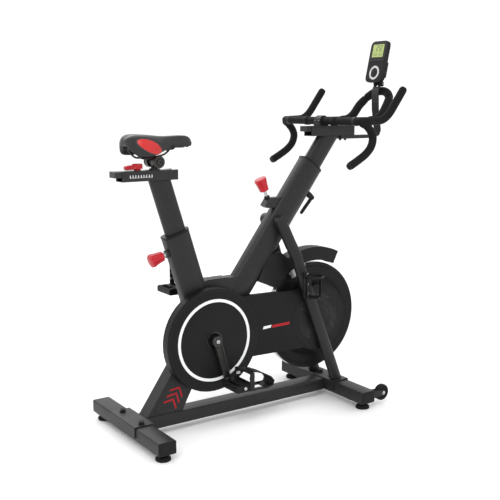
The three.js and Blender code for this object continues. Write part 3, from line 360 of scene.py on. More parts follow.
def mid(node):
    """Middle of a CAD node in mm from the rear stabiliser's rear face, the middle plane and the floor."""
    low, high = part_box(node)
    c = (low + high) / 2
    return (c.x - REAR) * 1000, c.y * 1000, c.z * 1000


def refine(node, mat, bevel=1.0, angle=38, smooth=38, flat=1.5, name=None):
    """The CAD solid with its edges softened and its curves shaded smooth."""
    bm = bmesh.new()
    bm.from_mesh(NODES[node].data)
    bmesh.ops.remove_doubles(bm, verts=bm.verts, dist=2e-5)
    bmesh.ops.dissolve_limit(bm, angle_limit=math.radians(flat), verts=bm.verts, edges=bm.edges)
    bmesh.ops.recalc_face_normals(bm, faces=bm.faces)
    mesh = bpy.data.meshes.new(node + "_look")
    bm.to_mesh(mesh)
    bm.free()
    obj = bpy.data.objects.new(name or node + "_look", mesh)
    bpy.context.scene.collection.objects.link(obj)
    dress(obj, mat, BODY_OF[node], smooth, bevel / 1000, 2, 0, angle)
    return stands_for(obj, node)


CX, CZ = mid("drive_pulley")[::2]
FX, FZ = mid("flywheel")[::2]

# Places and sizes shared by several pieces, in millimetres and degrees
WHEELBASE = 932
STRUT_FACE = 32
STRUT_LEAN = 57.5
LOBE_FACE = 75
ARM_FACE = 57.5
SLEEVE_HALF = 55
SEAT_LEAN = 17.7
SEAT_TOP_X, SEAT_TOP_Z = 235, 757
SEAT_KNOB_RUN = -56
HEAD_LEAN = 36.8
HEAD_TOP_X, HEAD_TOP_Z = 870, 988
LEVER_RUN = -101
SLIDER_KNOB_X, BAR_KNOB_X = 81, 988
SADDLE_CLAMP_X = 150
RAIL_Y = 25
BAR_X, BAR_Z = 923, 1168
GRIP_Y = 254
LOOP_Y = 90
CONSOLE_LEAN = 12.5
CONSOLE_X, CONSOLE_Z = 1200, 1328
HINGE_X, HINGE_Z = 1236, 1320
BUTTON_RISE = 39

# ---------------------------------------------------------------- frame
for n in ("base_beam", "rear_stabiliser", "rear_strut", "frame_web", "fork_leg_right", "fork_leg_left",
          "seat_sleeve", "head_tube", "seat_post", "handlebar_post", "bottom_bracket_shell",
          "resistance_bracket"):
    refine(n, PAINT, 1.2, smooth=30)
for n in ("front_stabiliser", "rear_bracket", "front_bracket", "console_bracket"):
    refine(n, PAINT, 0.8, smooth=30)
for n in ("seat_slide_box", "handlebar_slide_box"):
    refine(n, PAINT, 0.7, smooth=30)
refine("seat_slider", PAINT_LIGHT, 1.0, smooth=30)
refine("handlebar_slider", PAINT, 1.0, smooth=30)
for n in ("seat_bushing", "handlebar_bushing"):
    refine(n, PLASTIC, 0.8, smooth=30)
for n in ("belt_guard_inner", "drive_pulley"):
    refine(n, PLASTIC, 0.4)
for n in ("flywheel_axle", "flywheel_pulley", "crank_axle", "magnet_bracket"):
    refine(n, STEEL, 0.4)
refine("drive_belt", RUBBER, 0.3)
refine("brake_housing", GUARD, 2.0, smooth=30)
refine("belt_guard_outer", GUARD, 0.9, smooth=30)
refine("hub_cover", COVER, 0.8)

for end, x in (("rear", mid("rear_stabiliser")[0]), ("front", mid("rear_stabiliser")[0] + WHEELBASE)):
    for sign, word in ((1, "left"), (-1, "right")):
        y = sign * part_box("rear_stabiliser")[1].y * 1000
        inner, outer = (y - 1.5, y + 1.6) if sign > 0 else (y - 1.6, y + 1.5)
        box(x - 34.5, x + 34.5, inner, outer, 28.5, 75.5, PLASTIC, "frame", f"end_cap_{end}_{word}", 1.4)
        box(x - 26, x + 26, min(y, y + sign * 2.6), max(y, y + sign * 2.6), 36, 68, PLASTIC, "frame",
            f"end_cap_face_{end}_{word}", 1.2)
for word, reach in (("rear", 77), ("front", 36)):
    x = mid(f"{word}_bracket")[0]
    for i, y in enumerate((reach, -reach)):
        lathe([(0.01, 0), (11.5, 0.2), (12, 1.2), (11, 2.6), (6, 3.2), (5.6, 2.2), (0.01, 2.2)],
              at(x, y, 89.2), (0, 0, 1), PLASTIC, "frame", f"bolt_cap_{word}_{i}", 32)


def bead(points, body, name, radius=1.7, mat=None):
    """Weld bead or raised seam along straight runs."""
    raw = [np.array(at(*p)) for p in points]
    path = []
    for a, b in zip(raw[:-1], raw[1:]):
        steps = max(2, int(np.linalg.norm(b - a) / 0.004))
        path += [a + (b - a) * k / steps for k in range(steps)]
    path.append(raw[-1])
    loops = [ring_loop(radius / 1000 * (1 + 0.22 * math.sin(2.1 * i)), 8) for i in range(len(path))]
    verts, faces = skin(rings_of(path, loops, (0.3, 1, 0.2)))
    return build(name, verts, faces, mat or PAINT, body, smooth=60)


for sign, word in ((1, "left"), (-1, "right")):
    bead([(84, sign * (STRUT_FACE + 0.5), 78.4), (234, sign * (STRUT_FACE + 0.5), 78.4)], "frame",
         f"weld_strut_{word}")
    bead([(355, sign * 24.5, 571), (452, sign * 24.5, 571)], "frame", f"weld_web_{word}", 1.2)
bead([(83, -31, 78.6), (83, 31, 78.6)], "frame", "weld_strut_rear")
bead([(236, -31, 78.6), (236, 31, 78.6)], "frame", "weld_strut_front")
for x, word in ((78, "rear"), (926, "front")):
    bead([(x, -35, 77.8), (x, 35, 77.8)], "frame", f"weld_beam_{word}", 1.6)

# Chevrons and raised seam on the strut
up = Vector((math.cos(math.radians(STRUT_LEAN)), 0, math.sin(math.radians(STRUT_LEAN))))
out = Vector((up.z, 0, -up.x))
for k in range(3):
    base = Vector((178, 0, 104)) + up * (25 * k)
    reach, rise, thick = 31, 26, 9
    pts = [base - out * reach, base + up * rise, base + out * reach, base + out * reach + up * thick,
           base + up * (rise + thick), base - out * reach + up * thick]
    for side, word in ((-1, "right"), (1, "left")):
        y0, y1 = sorted((side * (STRUT_FACE + 0.05), side * (STRUT_FACE + 0.55)))
        plate([(p.x, p.z) for p in pts], y0, y1, RED_PRINT, "frame",
              f"chevron_{word}_{k}", 0.1, 1)
for side, word in ((-1, "right"), (1, "left")):
    bead([(x, side * 32.2, z) for x, z in ((108, 80), (186, 209), (228, 270))], "frame",
         f"strut_seam_{word}", 0.9)

# ---------------------------------------------------------------- feet and wheels
for end in ("rear", "front"):
    for word in ("left", "right"):
        node = f"levelling_foot_{end}_{word}"
        x, y, _ = mid(node)
        foot = lathe([(0.01, 0), (26, 0), (28, 1), (28.5, 3), (28.5, 5), (27.5, 6), (28.2, 7.4), (27.4, 8.8),
                      (24, 13), (19, 16), (12, 17), (0.01, 17)], at(x, y, 0), (0, 0, 1), RUBBER,
                     BODY_OF[node], node + "_pad", 56)
        stands_for(foot, node)
        lathe([(0.01, 16.5), (12.4, 16.5), (13, 17.4), (13, 23.5), (12.2, 24.5), (0.01, 24.5)], at(x, y, 0),
              (0, 0, 1), STEEL, BODY_OF[node], node + "_nut", 6, smooth=20)
        lathe([(0.01, 24), (5, 24), (5, 26.6), (0.01, 26.6)], at(x, y, 0), (0, 0, 1), STEEL, BODY_OF[node],
              node + "_stem", 24)
for word in ("left", "right"):
    node = f"transport_wheel_{word}"
    x, y, z = mid(node)
    wheel = lathe(mirrored([(5.4, -10), (9, -10), (10, -9), (10, -7), (24, -6.2), (26, -9.2), (30, -10),
                            (33, -8), (34, -5), (34, -1.2), (33.2, -0.6)]),
                  at(x, y, z), (0, 1, 0), RUBBER, BODY_OF[node], node + "_tyre", 64)
    stands_for(wheel, node)
    for side in (-1, 1):
        bolt(at(x, y + side * 15.0, z), (0, side, 0), 5.2, STEEL, "frame", f"wheel_bolt_{word}_{side + 1}")

# ---------------------------------------------------------------- guard details
ring_y = mid("guard_ring")[1]
ring = lathe([(149, -0.5), (149.3, 0.5), (150.2, 1.3), (155, 1.7), (159.8, 1.3), (160.7, 0.5), (161, -0.5),
              (149, -0.5)], at(CX, ring_y, CZ), (0, -1, 0), WHITE, "frame", "white_ring", 128)
stands_for(ring, "guard_ring")
lathe([(25.4, -3), (25.4, 0.5), (27, 1.4), (33, 1.5), (34.5, 0.6), (34.5, -0.2), (25.4, -3)],
      at(CX, -LOBE_FACE - 0.2, CZ), (0, -1, 0), GLOSS, "frame", "crank_collar", 72)
# Thin dark disc set 12 mm inside the crank hole: painted shade that makes the recess around the axle read
# black
lathe([(11.5, -12), (25, -12), (25.2, -11), (11.5, -11), (11.5, -12)], at(CX, -LOBE_FACE - 0.2, CZ),
      (0, -1, 0), RUBBER, "frame", "crank_recess_painted_shade", 48)
for r, low, high, word in ((194.5, 0.1, 0.5, "outer"), (165.5, 0, 0.7, "inner")):
    lathe([(r, low), (r + 0.3, high), (r + 1.0, high), (r + 1.3, low), (r, low)],
          at(CX, -LOBE_FACE, CZ), (0, -1, 0), COVER, "frame", f"guard_line_{word}", 128)
for k, angle in enumerate((60, 150, 240, 330)):
    sx, sz = FX + 92 * math.cos(math.radians(angle)), FZ + 92 * math.sin(math.radians(angle))
    lathe([(0.01, 0), (5, 0), (5.2, 0.8), (4, 2.0), (2.2, 2.4), (2.0, 1.2), (0.01, 1.2)], at(sx, -56.0, sz),
          (0, -1, 0), DARK, "frame", f"cover_screw_{k}", 24)
for r, word in ((104, "a"), (60, "b")):
    lathe([(r, 0), (r + 0.3, 0.8), (r + 2.2, 0.8), (r + 2.5, 0), (r, 0)], at(FX, 0.1 - ARM_FACE, FZ),
          (0, -1, 0), RUBBER, "frame", f"cover_bead_{word}", 96)
lathe([(132, 0), (132.4, 0.8), (134, 0.8), (134.4, 0), (132, 0)], at(FX, 0.1 - ARM_FACE, FZ), (0, -1, 0),
      RUBBER, "frame", "cover_rim_bead", 96)
for x0, x1, mat, word in ((593, 631, WHITE_PRINT, "white"), (636, 723, RED_PRINT, "red")):
    plate([(x0, 349), (x1, 350.5), (x1 + 4, 361.5), (x0 + 4, 360)], -ARM_FACE - 0.35, -ARM_FACE - 0.02, mat,
          "frame", f"guard_stripe_{word}", 0.05, 1)

# ---------------------------------------------------------------- flywheel
fly = lathe(mirrored([(8.6, -20), (36, -20), (40, -18), (45, -9), (60, -6.4), (150, -6), (164, -7),
                      (172, -12), (176, -13), (208, -13), (209, -11.6), (212, -11.6)]),
            at(FX, 0, FZ), (0, 1, 0), IRON, "flywheel", "flywheel_disc", 144)
stands_for(fly, "flywheel")
lathe(mirrored([(212, -11.6), (213, -13), (222.6, -13), (224.4, -12.4), (222, -11)]),
      at(FX, 0, FZ), (0, 1, 0), IRON, "flywheel", "flywheel_rim", 160)
lathe(mirrored([(221, -12.2), (224.4, -12.3), (226, -11)]), at(FX, 0, FZ),
      (0, 1, 0), POLISHED, "flywheel", "flywheel_tread", 160)
for side in (-1, 1):
    lathe([(0.01, 0), (12, 0), (12.5, 1), (12.5, 5.5), (11.4, 6.5), (0.01, 6.5)], at(FX, side * 20.6, FZ),
          (0, side, 0), STEEL, "frame", f"axle_nut_{side + 1}", 6, smooth=20)
    for k in range(6):
        a = math.radians(60 * k + 15)
        lathe([(0.01, 0), (4.6, 0), (5, 0.5), (5, 2.6), (4.2, 3.2), (2.4, 3.2), (2.2, 1.6), (0.01, 1.6)],
              at(FX + 30 * math.cos(a), side * 19.6, FZ + 30 * math.sin(a)), (0, side, 0), STEEL, "flywheel",
              f"hub_screw_{side + 1}_{k}", 20)

# ---------------------------------------------------------------- cranks and pedals
def crank(word, side):
    """Grooved arm with a boss at the axle and a tip at the pedal."""
    node = f"crank_arm_{word}"
    px, _, pz = mid(f"pedal_{word}")
    d = Vector((px - CX, 0, pz - CZ)).normalized()
    n = Vector((d.z, 0, -d.x))
    c, p = Vector((CX, 0, CZ)), Vector((px, 0, pz))
    ya, yb = (86, 96) if side > 0 else (-96, -86)
    face = side * 101

    def outline(r0, r1, c0, p1):
        pts = []
        for k in range(17):
            a = math.pi * k / 16
            pts.append(c0 + n * (r0 * math.cos(a)) - d * (r0 * math.sin(a)))
        for k in range(17):
            a = math.pi * k / 16
            pts.append(p1 - n * (r1 * math.cos(a)) + d * (r1 * math.sin(a)))
        return [(q.x, q.z) for q in pts]
    arm = plate(outline(17, 13, c, p), ya, yb, DARK, BODY_OF[node], f"{node}_web", 3.0, 4)
    stands_for(arm, node)
    for s, tag in ((1, "a"), (-1, "b")):
        rib = [c + d * 16 + n * (s * 15.5), p - d * 10 + n * (s * 12.2), p - d * 10 + n * (s * 7.5),
               c + d * 16 + n * (s * 9.5)]
        lo, hi = sorted((side * 93, face))
        plate([(q.x, q.z) for q in rib], lo, hi, DARK, BODY_OF[node], f"{node}_rib_{tag}", 2.0, 3)
    for q, r, tag in ((c, 21, "boss"), (p, 15.5, "tip")):
        lathe([(0.01, 0), (r - 1.5, 0), (r, 1.5), (r, 13), (r - 2, 15.2), (r * 0.55, 15.2), (r * 0.5, 13.6),
               (0.01, 13.6)], at(q.x, side * 86, q.z), (0, side, 0), DARK, BODY_OF[node], f"{node}_{tag}", 48)
    lathe([(0.01, 0), (7.4, 0), (8, 0.6), (8, 2.6), (7, 3.4), (3.6, 3.4), (3.4, 1.4), (0.01, 1.4)],
          at(CX, side * 99.4, CZ), (0, side, 0), STEEL, BODY_OF[node], f"{node}_bolt", 32)


def pedal(word, side):
    """Platform pedal with a barrel, studs, toe cage and strap."""
    node, cage = f"pedal_{word}", f"toe_cage_{word}"
    body = BODY_OF[node]
    low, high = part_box(node)
    y_in, y_out = side * 115, side * 215
    x, _, z = mid(node)
    ym = (y_in + y_out) / 2
    refine(node, PLASTIC, 1.6, smooth=30)
    lathe([(0.01, 0), (9, 0), (10.5, 1), (13, 6), (13, 92), (11, 96), (9, 98), (0.01, 98)],
          at(x, side * 116, z), (0, side, 0), PLASTIC, body, f"{node}_barrel", 32)
    lathe([(0.01, 0), (6, 0), (7, 1), (7, 3), (6, 4), (0.01, 4)], at(x, side * 212.6, z), (0, side, 0),
          STEEL, body, f"{node}_dust_cap", 6, smooth=20)
    for i, dx in enumerate((-36, -12, 12, 33)):
        for j in range(9):
            y = ym - 40 + 10 * j
            lathe([(0.01, 0), (2.2, 0), (1.8, 2.0), (1.1, 2.8), (0.01, 2.8)], at(x + dx, y, z + 12.9),
                  (0, 0, 1), PLASTIC, body, f"{node}_stud_{i}_{j}", 10)
    refine(cage, STRAP, 0.9, smooth=35)
    sx = x + 28
    for dy, tag in ((side * -44, "in"), (side * 47, "out")):
        box(sx - 9, sx + 9, ym + dy - 1.2, ym + dy + 1.2, z + 29, z + 40, STEEL, body,
            f"{cage}_buckle_{tag}", 0.8)
    band([(sx - 10, z + 57.2), (sx + 10, z + 57.4), (sx + 34, z + 52.6)], 2.0, ym - 8, ym + 8, STRAP, body,
         f"{cage}_strap_end", 0.5, 16)
    tube([(x + 36, ym - 34, z - 12), (x + 90, ym - 35, z - 17), (x + 130, ym - 30, z - 16),
          (x + 146, ym, z - 6),
          (x + 130, ym + 30, z - 16), (x + 90, ym + 35, z - 17), (x + 36, ym + 34, z - 12)], 2.6, STRAP, body,
         f"{cage}_rim", 60, 10)


for word, side in (("right", -1), ("left", 1)):
    crank(word, side)
    pedal(word, side)

# ---------------------------------------------------------------- knobs and levers
def knob(name, node, profile, origin, axis, fluted, mat=RED):
    """Turned hand knob with finger flutes between two heights."""
    obj = lathe(profile, origin, axis, mat, BODY_OF[node], name, 84, 40, 7, 0.13, fluted)
    stands_for(obj, node)
    return obj


def along(point, way, s):
    return at(point[0] + way[0] * s, 0, point[1] + way[1] * s)


foot, top = (639, 897), (617, 946)
run = math.hypot(top[0] - foot[0], top[1] - foot[1])
way = ((top[0] - foot[0]) / run, (top[1] - foot[1]) / run)
knob("resistance_knob_cap", "resistance_knob",
     [(0.01, 0), (17, 0), (18.6, 1.5), (21, 20), (24, 38), (25.4, 44), (25.4, 48), (23.5, 51.5), (18, 53.2),
      (9, 53.8), (0.01, 53.8)], along(foot, way, 0), (way[0], 0, way[1]), (3, 50))
lathe([(0.01, -33), (5.8, -33), (5.8, -2), (11, -1.6), (12, 0.4), (0.01, 0.4)], along(foot, way, 0),
      (way[0], 0, way[1]), STEEL, "brake_knob", "resistance_rod", 32)
lathe([(6.4, -34), (11, -34), (12, -33), (12, -27), (10.5, -24.5), (6.4, -24.5), (6.4, -34)],
      along(foot, way, 0), (way[0], 0, way[1]), PLASTIC, "frame", "resistance_collar", 36)

lean = math.radians(SEAT_LEAN)
back = (-math.cos(lean), -math.sin(lean))
sx, sz = -math.sin(lean), math.cos(lean)
face = (SEAT_TOP_X + sx * SEAT_KNOB_RUN + back[0] * SLEEVE_HALF,
        SEAT_TOP_Z + sz * SEAT_KNOB_RUN + back[1] * SLEEVE_HALF)
knob("seat_post_knob_cap", "seat_post_knob",
     [(0.01, 24), (17, 24), (19, 25.5), (21, 40), (24, 60), (26.4, 66), (26.4, 73), (24, 77), (17, 79.4),
      (8, 80.2), (0.01, 80.2)], along(face, back, 0), (back[0], 0, back[1]), (28, 74))
lathe([(0.01, 0.4), (10, 0.4), (10, 22), (12, 22.6), (12, 25), (0.01, 25)], along(face, back, 0),
      (back[0], 0, back[1]), STEEL, "column_knob", "seat_post_plunger", 32)
lathe([(10.4, 0.1), (16, 0.1), (17, 1.2), (17, 8), (15, 11), (10.4, 11), (10.4, 0.1)], along(face, back, 0),
      (back[0], 0, back[1]), PAINT, "frame", "seat_post_nut", 6, smooth=20)

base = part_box("seat_slider_knob")[0].z * 1000
knob("seat_slider_knob_cap", "seat_slider_knob",
     [(0.01, 0.2), (12, 0.2), (12.4, 6.5), (19.6, 7), (20.2, 9), (19.6, 21), (18, 24), (14, 25.2),
      (0.01, 25.4)], at(SLIDER_KNOB_X, 0, base), (0, 0, 1), (8, 23))
plate([(SLIDER_KNOB_X, base + 4.5), (46, base + 3.5), (36, base + 3), (31.5, base + 5), (31, base + 11.5),
       (33, base + 17.5), (46, base + 19.5), (SLIDER_KNOB_X, base + 21)], -10.5, 10.5, RED, "saddle_knob",
      "seat_slider_paddle", 2.6, 4)
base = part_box("handlebar_slider_knob")[0].z * 1000
knob("handlebar_slider_knob_cap", "handlebar_slider_knob",
     [(0.01, 0.2), (12, 0.2), (12.4, 7.4), (20.6, 8), (21.8, 10), (20, 29), (18, 32.6), (13, 33.8),
      (0.01, 34)], at(BAR_KNOB_X, 0, base), (0, 0, 1), (9, 31))

hl = math.radians(HEAD_LEAN)
hd, hn = (math.sin(hl), math.cos(hl)), (math.cos(hl), -math.sin(hl))


def off_head(s, out_by, y=0.0):
    """A point beside the head tube's front face, s along it from its top."""
    away = SLEEVE_HALF + out_by
    return at(HEAD_TOP_X + hd[0] * s + hn[0] * away, y, HEAD_TOP_Z + hd[1] * s + hn[1] * away)


lever = lathe([(0.01, 0.4), (12, 0.4), (12.6, 1.4), (12.2, 20), (11, 24), (9.4, 26), (9.4, 36), (8, 38.4),
               (0.01, 38.6)], off_head(LEVER_RUN, 0), (hn[0], 0, hn[1]), PLASTIC, "bar_lever", "lever_boss",
              48)
stands_for(lever, "post_clamp_lever")
path = [off_head(LEVER_RUN + run, rise) for run, rise in ((11, 29), (0, 31), (-29, 29), (-59, 26), (-86, 24))]
pts = spline([tuple(p) for p in path], 30)
loops = [[(u * (1.0 + 0.25 * math.sin(math.pi * i / 29)), v * 0.85) for u, v in ring_loop(0.0078, 20)]
         for i in range(30)]
for i, f in ((0, 0.5), (1, 0.85), (-2, 0.85), (-1, 0.5)):
    loops[i] = [(u * f, v * f) for u, v in loops[i]]
verts, faces = skin(rings_of(pts, loops, (0, 1, 0)))
build("lever_arm", verts, faces, PLASTIC, "bar_lever", smooth=50, sub=1)
lathe([(0.01, 38), (6, 38), (6.5, 38.6), (6.5, 41), (5.4, 42), (3, 42), (2.8, 40.4), (0.01, 40.4)],
      off_head(LEVER_RUN, 0), (hn[0], 0, hn[1]), STEEL, "bar_lever", "lever_bolt", 28)

# ---------------------------------------------------------------- saddle
STATIONS = [(28, 20, 1106, 1086, 1092), (31, 36, 1114, 1076, 1090), (38, 54, 1120, 1066, 1088),
            (48, 68, 1125, 1057, 1086), (62, 77, 1128, 1052, 1084), (82, 80, 1128.5, 1050, 1082),
            (104, 77, 1127, 1051, 1081), (126, 69, 1124.5, 1054, 1081), (148, 57, 1122, 1060, 1082),
            (170, 45, 1120, 1067, 1083), (196, 36, 1119.5, 1072, 1085), (222, 31, 1120.5, 1075, 1086),
            (250, 28.5, 1122, 1076, 1086), (272, 25.5, 1121, 1077, 1086), (286, 21, 1117.5, 1078, 1086),
            (296, 15, 1111, 1080, 1086), (304, 8, 1101, 1084, 1088)]


def saddle_mesh():
    """Saddle shell from the stations: half width, top, skirt and underside along its length."""
    table = np.array(STATIONS, float)
    xs = np.concatenate([np.linspace(28, 60, 12, endpoint=False), np.linspace(60, 280, 44, endpoint=False),
                         np.linspace(280, 304, 10)])
    rings = []
    for s in xs:
        w, t, k, b = [np.interp(s, table[:, 0], table[:, c]) for c in (1, 2, 3, 4)]
        dish = 2.2 * math.exp(-((s - 110) / 90) ** 2)
        side = [(0.0, t - dish), (0.16, t - dish * 0.5), (0.34, t + 1.0), (0.52, t + 0.8), (0.68, t - 2.5),
                (0.82, t - 8), (0.93, t - 17), (0.99, t - 28 * (t - k) / 72), (1.0, k + 0.42 * (t - k)),
                (0.985, k + 0.22 * (t - k)), (0.95, k + 3), (0.9, k), (0.84, k + 2),
                (0.74, k + 0.5 * (b - k)), (0.6, b - 1), (0.3, b), (0.0, b)]
        left = [at(s, w * f, z) for f, z in side]
        right = [at(s, -w * f, z) for f, z in side[-2:0:-1]]
        rings.append(left + right)
    return skin(rings)


def fill_out(obj, seconds=20, cap=0.008):
    """Inflates a padded piece with a short cloth simulation and keeps each point near where it was."""
    mesh = obj.data
    rest = np.array([v.co for v in mesh.vertices])
    belly = min(v.co.z for v in mesh.vertices) + 0.034
    pins = obj.vertex_groups.new(name="pins")
    for v in mesh.vertices:
        if v.normal.z < -0.35 and v.co.z < belly:
            pins.add([v.index], 1.0, "ADD")
    cloth = obj.modifiers.new("cloth", "CLOTH")
    s = cloth.settings
    s.quality = 6
    s.mass = 0.2
    s.tension_stiffness = s.compression_stiffness = 25
    s.bending_stiffness = 1.5
    s.use_pressure = True
    s.uniform_pressure_force = 4.0
    s.vertex_group_mass = "pins"
    s.effector_weights.gravity = 0.0
    cloth.point_cache.frame_start, cloth.point_cache.frame_end = 1, seconds
    scene = bpy.context.scene
    for f in range(1, seconds + 1):
        scene.frame_set(f)
    dg = bpy.context.evaluated_depsgraph_get()
    moved = np.array([v.co for v in obj.evaluated_get(dg).data.vertices])
    scene.frame_set(1)
    obj.modifiers.remove(cloth)
    step = moved - rest
    length = np.linalg.norm(step, axis=1, keepdims=True)
    step *= np.minimum(1.0, cap / np.maximum(length, 1e-9))
    mesh.vertices.foreach_set("co", (rest + step * 0.55).ravel())
    mesh.update()


verts, faces = saddle_mesh()
saddle = build("saddle_cover", verts, faces, PLASTIC, None, smooth=60)
remesh = saddle.modifiers.new("remesh", "REMESH")
remesh.mode = "VOXEL"
remesh.voxel_size = 0.0042
dg = bpy.context.evaluated_depsgraph_get()
fresh = bpy.data.meshes.new_from_object(saddle.evaluated_get(dg))
saddle.modifiers.clear()
saddle.data = fresh
fill_out(saddle)
PANEL_X, PANEL_Z = 102, 1087
PANEL_LONG, PANEL_TALL = 56, 21.5
PANEL_TILT = 22


def two_tone():
    """Black leather with a red flank panel on each side and a worn sheen."""
    m = material("saddle_leather", (0.0060, 0.0060, 0.0066), 0.46, 0, 520, 0.35, 0.18, 0.2, pattern="leather",
                 worn=(0.04, 0.04, 0.04), spec=0.4)
    n, link = m.node_tree.nodes, m.node_tree.links
    bsdf = n["Principled BSDF"]
    old = bsdf.inputs["Base Color"].links[0].from_socket
    coord = n.new("ShaderNodeTexCoord")
    centre = at(PANEL_X, 0, PANEL_Z)
    shift = n.new("ShaderNodeMapping")
    shift.vector_type = "TEXTURE"
    shift.inputs["Location"].default_value = (centre.x, 0, centre.z)
    shift.inputs["Rotation"].default_value = (0, math.radians(PANEL_TILT), 0)
    shift.inputs["Scale"].default_value = (PANEL_LONG / 1000, 1.0, PANEL_TALL / 1000)
    link.new(coord.outputs["Object"], shift.inputs["Vector"])
    split = n.new("ShaderNodeSeparateXYZ")
    link.new(shift.outputs["Vector"], split.inputs["Vector"])
    flat = n.new("ShaderNodeCombineXYZ")
    link.new(split.outputs["X"], flat.inputs["X"])
    link.new(split.outputs["Z"], flat.inputs["Z"])
    size = n.new("ShaderNodeVectorMath")
    size.operation = "LENGTH"
    link.new(flat.outputs["Vector"], size.inputs[0])
    inside = n.new("ShaderNodeMapRange")
    inside.inputs["From Min"].default_value = 1.0
    inside.inputs["From Max"].default_value = 0.975
    link.new(size.outputs["Value"], inside.inputs["Value"])
    mix = n.new("ShaderNodeMix")
    mix.data_type = "RGBA"
    mix.inputs[7].default_value = (0.44, 0.012, 0.012, 1)
    link.new(inside.outputs["Result"], mix.inputs[0])
    link.new(old, mix.inputs[6])
    link.new(mix.outputs[2], bsdf.inputs["Base Color"])
    return m


dress(saddle, two_tone(), "saddle_head", 180, sub=1)
stands_for(saddle, "saddle")
dg = bpy.context.evaluated_depsgraph_get()
tree = BVHTree.FromObject(saddle, dg)
tilt = math.radians(-PANEL_TILT)
for side, word in ((-1, "right"), (1, "left")):
    loop = []
    for k in range(72):
        a = 2 * math.pi * k / 72
        u, v = PANEL_LONG * math.cos(a), PANEL_TALL * math.sin(a)
        x = PANEL_X + u * math.cos(tilt) - v * math.sin(tilt)
        z = PANEL_Z + u * math.sin(tilt) + v * math.cos(tilt)
        hit = tree.ray_cast(at(x, side * 200, z), Vector((0, -side, 0)))
        if hit[0] is not None:
            loop.append(np.array(hit[0] + hit[1] * 0.0001))
    if len(loop) > 60:
        verts, faces = skin(rings_of(loop + loop[:2], [ring_loop(0.0009, 8)] * (len(loop) + 2), (0, 1, 0)))
        build(f"panel_piping_{word}", verts, faces, THREAD, "saddle_head", smooth=60)
lathe([(0.01, 0), (4.6, 0), (4.6, 12), (0.01, 12)], at(206, 0, 1079), (0, 0, -1), PLASTIC, "saddle_head",
      "nose_socket", 24)
plate([(196, 1078), (204, 1088), (222, 1086), (216, 1075), (206, 1071)], -34, 34, PLASTIC, "saddle_head",
      "nose_bridge", 1.5)
plate([(48, 1075), (46, 1088), (66, 1090), (70, 1074)], -36, 36, PLASTIC, "saddle_head", "tail_bridge", 1.5)
for side, word in ((-1, "right"), (1, "left")):
    y = side * RAIL_Y
    rail = tube([(54, y, 1084), (64, y, 1066), (86, y, 1046), (112, y, 1044), (150, y, 1050), (176, y, 1056),
                 (194, y, 1068), (208, y, 1085)], 3.6, DARK, "saddle_head", f"rail_{word}", 80, 16)
    stands_for(rail, f"saddle_rail_{word}")
clamp_z = mid("saddle_clamp")[2]
refine("saddle_clamp", DARK, 1.0)
for side in (-1, 1):
    lathe([(16, 0), (21, 0), (22.6, 1.6), (22.6, 6), (21, 7.6), (14, 8), (13, 6), (9.5, 6), (9.5, 0),
           (16, 0)], at(SADDLE_CLAMP_X, side * 33.2, clamp_z), (0, side, 0), DARK, "saddle_head",
          f"clamp_washer_{side + 1}", 48)
    lathe([(0.01, 0), (9, 0), (9.6, 0.8), (9.6, 5.8), (8.2, 7), (4.6, 7), (4.2, 4.6), (0.01, 4.6)],
          at(SADDLE_CLAMP_X, side * 39, clamp_z), (0, side, 0), STEEL if side > 0 else DARK, "saddle_head",
          f"clamp_nut_{side + 1}", 6, smooth=20)
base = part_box("seat_slide_box")
face_y = base[0].y * 1000
for k in range(17):
    x = 40 + 5.4 * k
    wide, tall = (1.25, 11) if k % 2 == 0 else (0.5, 5)
    for side, word in ((-1, "right"), (1, "left")):
        lo, hi = sorted((side * (-face_y + 0.02), side * (-face_y + 0.30)))
        box(x - wide, x + wide, lo, hi, 975, 975 + tall, WHITE_PRINT, "seat_column",
            f"seat_tick_{word}_{k}", 0.05, 1)

# ---------------------------------------------------------------- handlebar
right_side = [(x, -GRIP_Y, z) for x, z in ((1131, 1290), (1095, 1242), (1057, 1195), (1025, 1175),
                                           (975, 1170), (942, 1169))]
right_side += [(BAR_X + 4, -GRIP_Y + 6, BAR_Z + 0.4), (BAR_X, -GRIP_Y + 22, BAR_Z)]
left_side = [(x, -y, z) for x, y, z in reversed(right_side)]
straight = [(BAR_X, y, BAR_Z) for y in (-150, -60, 60, 150)]
whole = tube(right_side + straight + left_side, 16, FOAM, "bar_carriage", "handlebar_tube", 260, 28)
stands_for(whole, "handlebar")
for side, word in ((-1, "right"), (1, "left")):
    y = side * GRIP_Y
    tube([(926, y - side * 6, 1162), (946, y, 1150), (968, y, 1126), (977, y, 1102), (968, y, 1070),
          (943, y, 1044),
          (905, y, 1021), (864, y, 1000)], 15.6, FOAM, "bar_carriage", f"drop_{word}", 110, 28)
    for p, d, tag in (((864, y, 1000), (-0.88, 0, -0.47), "drop"), ((1131, y, 1290), (0.6, 0, 0.8), "horn")):
        o = at(*p) + Vector(d).normalized() * 0.006
        lathe([(0.01, -2), (13.2, -2), (13.8, 0), (12.6, 3.2), (8, 4.8), (0.01, 5.2)], o, d, PLASTIC,
              "bar_carriage", f"bar_plug_{tag}_{word}", 40)
    lathe([(15.9, -9), (17.6, -8.4), (17.8, 8.4), (15.9, 9), (15.9, -9)],
          at(BAR_X, side * 212, BAR_Z), (0, 1, 0),
          PLASTIC, "bar_carriage", f"grip_ring_{word}", 48)
for y, word in ((-LOOP_Y, "right"), (LOOP_Y, "left")):
    lathe(mirrored([(16.1, -13), (17.6, -12.6), (18.3, -11)]),
          at(BAR_X, y, BAR_Z), (0, 1, 0), FOAM, "bar_carriage", f"loop_clamp_{word}", 48)
for side in (-1, 1):
    for dx in (-19, 19):
        bolt(at(BAR_X + dx, side * 12, BAR_Z + 0.5), (0, 0, 1), 2.6, STEEL, "bar_carriage",
             f"cradle_bolt_{side + 1}_{dx + 19}", 4.0, False)
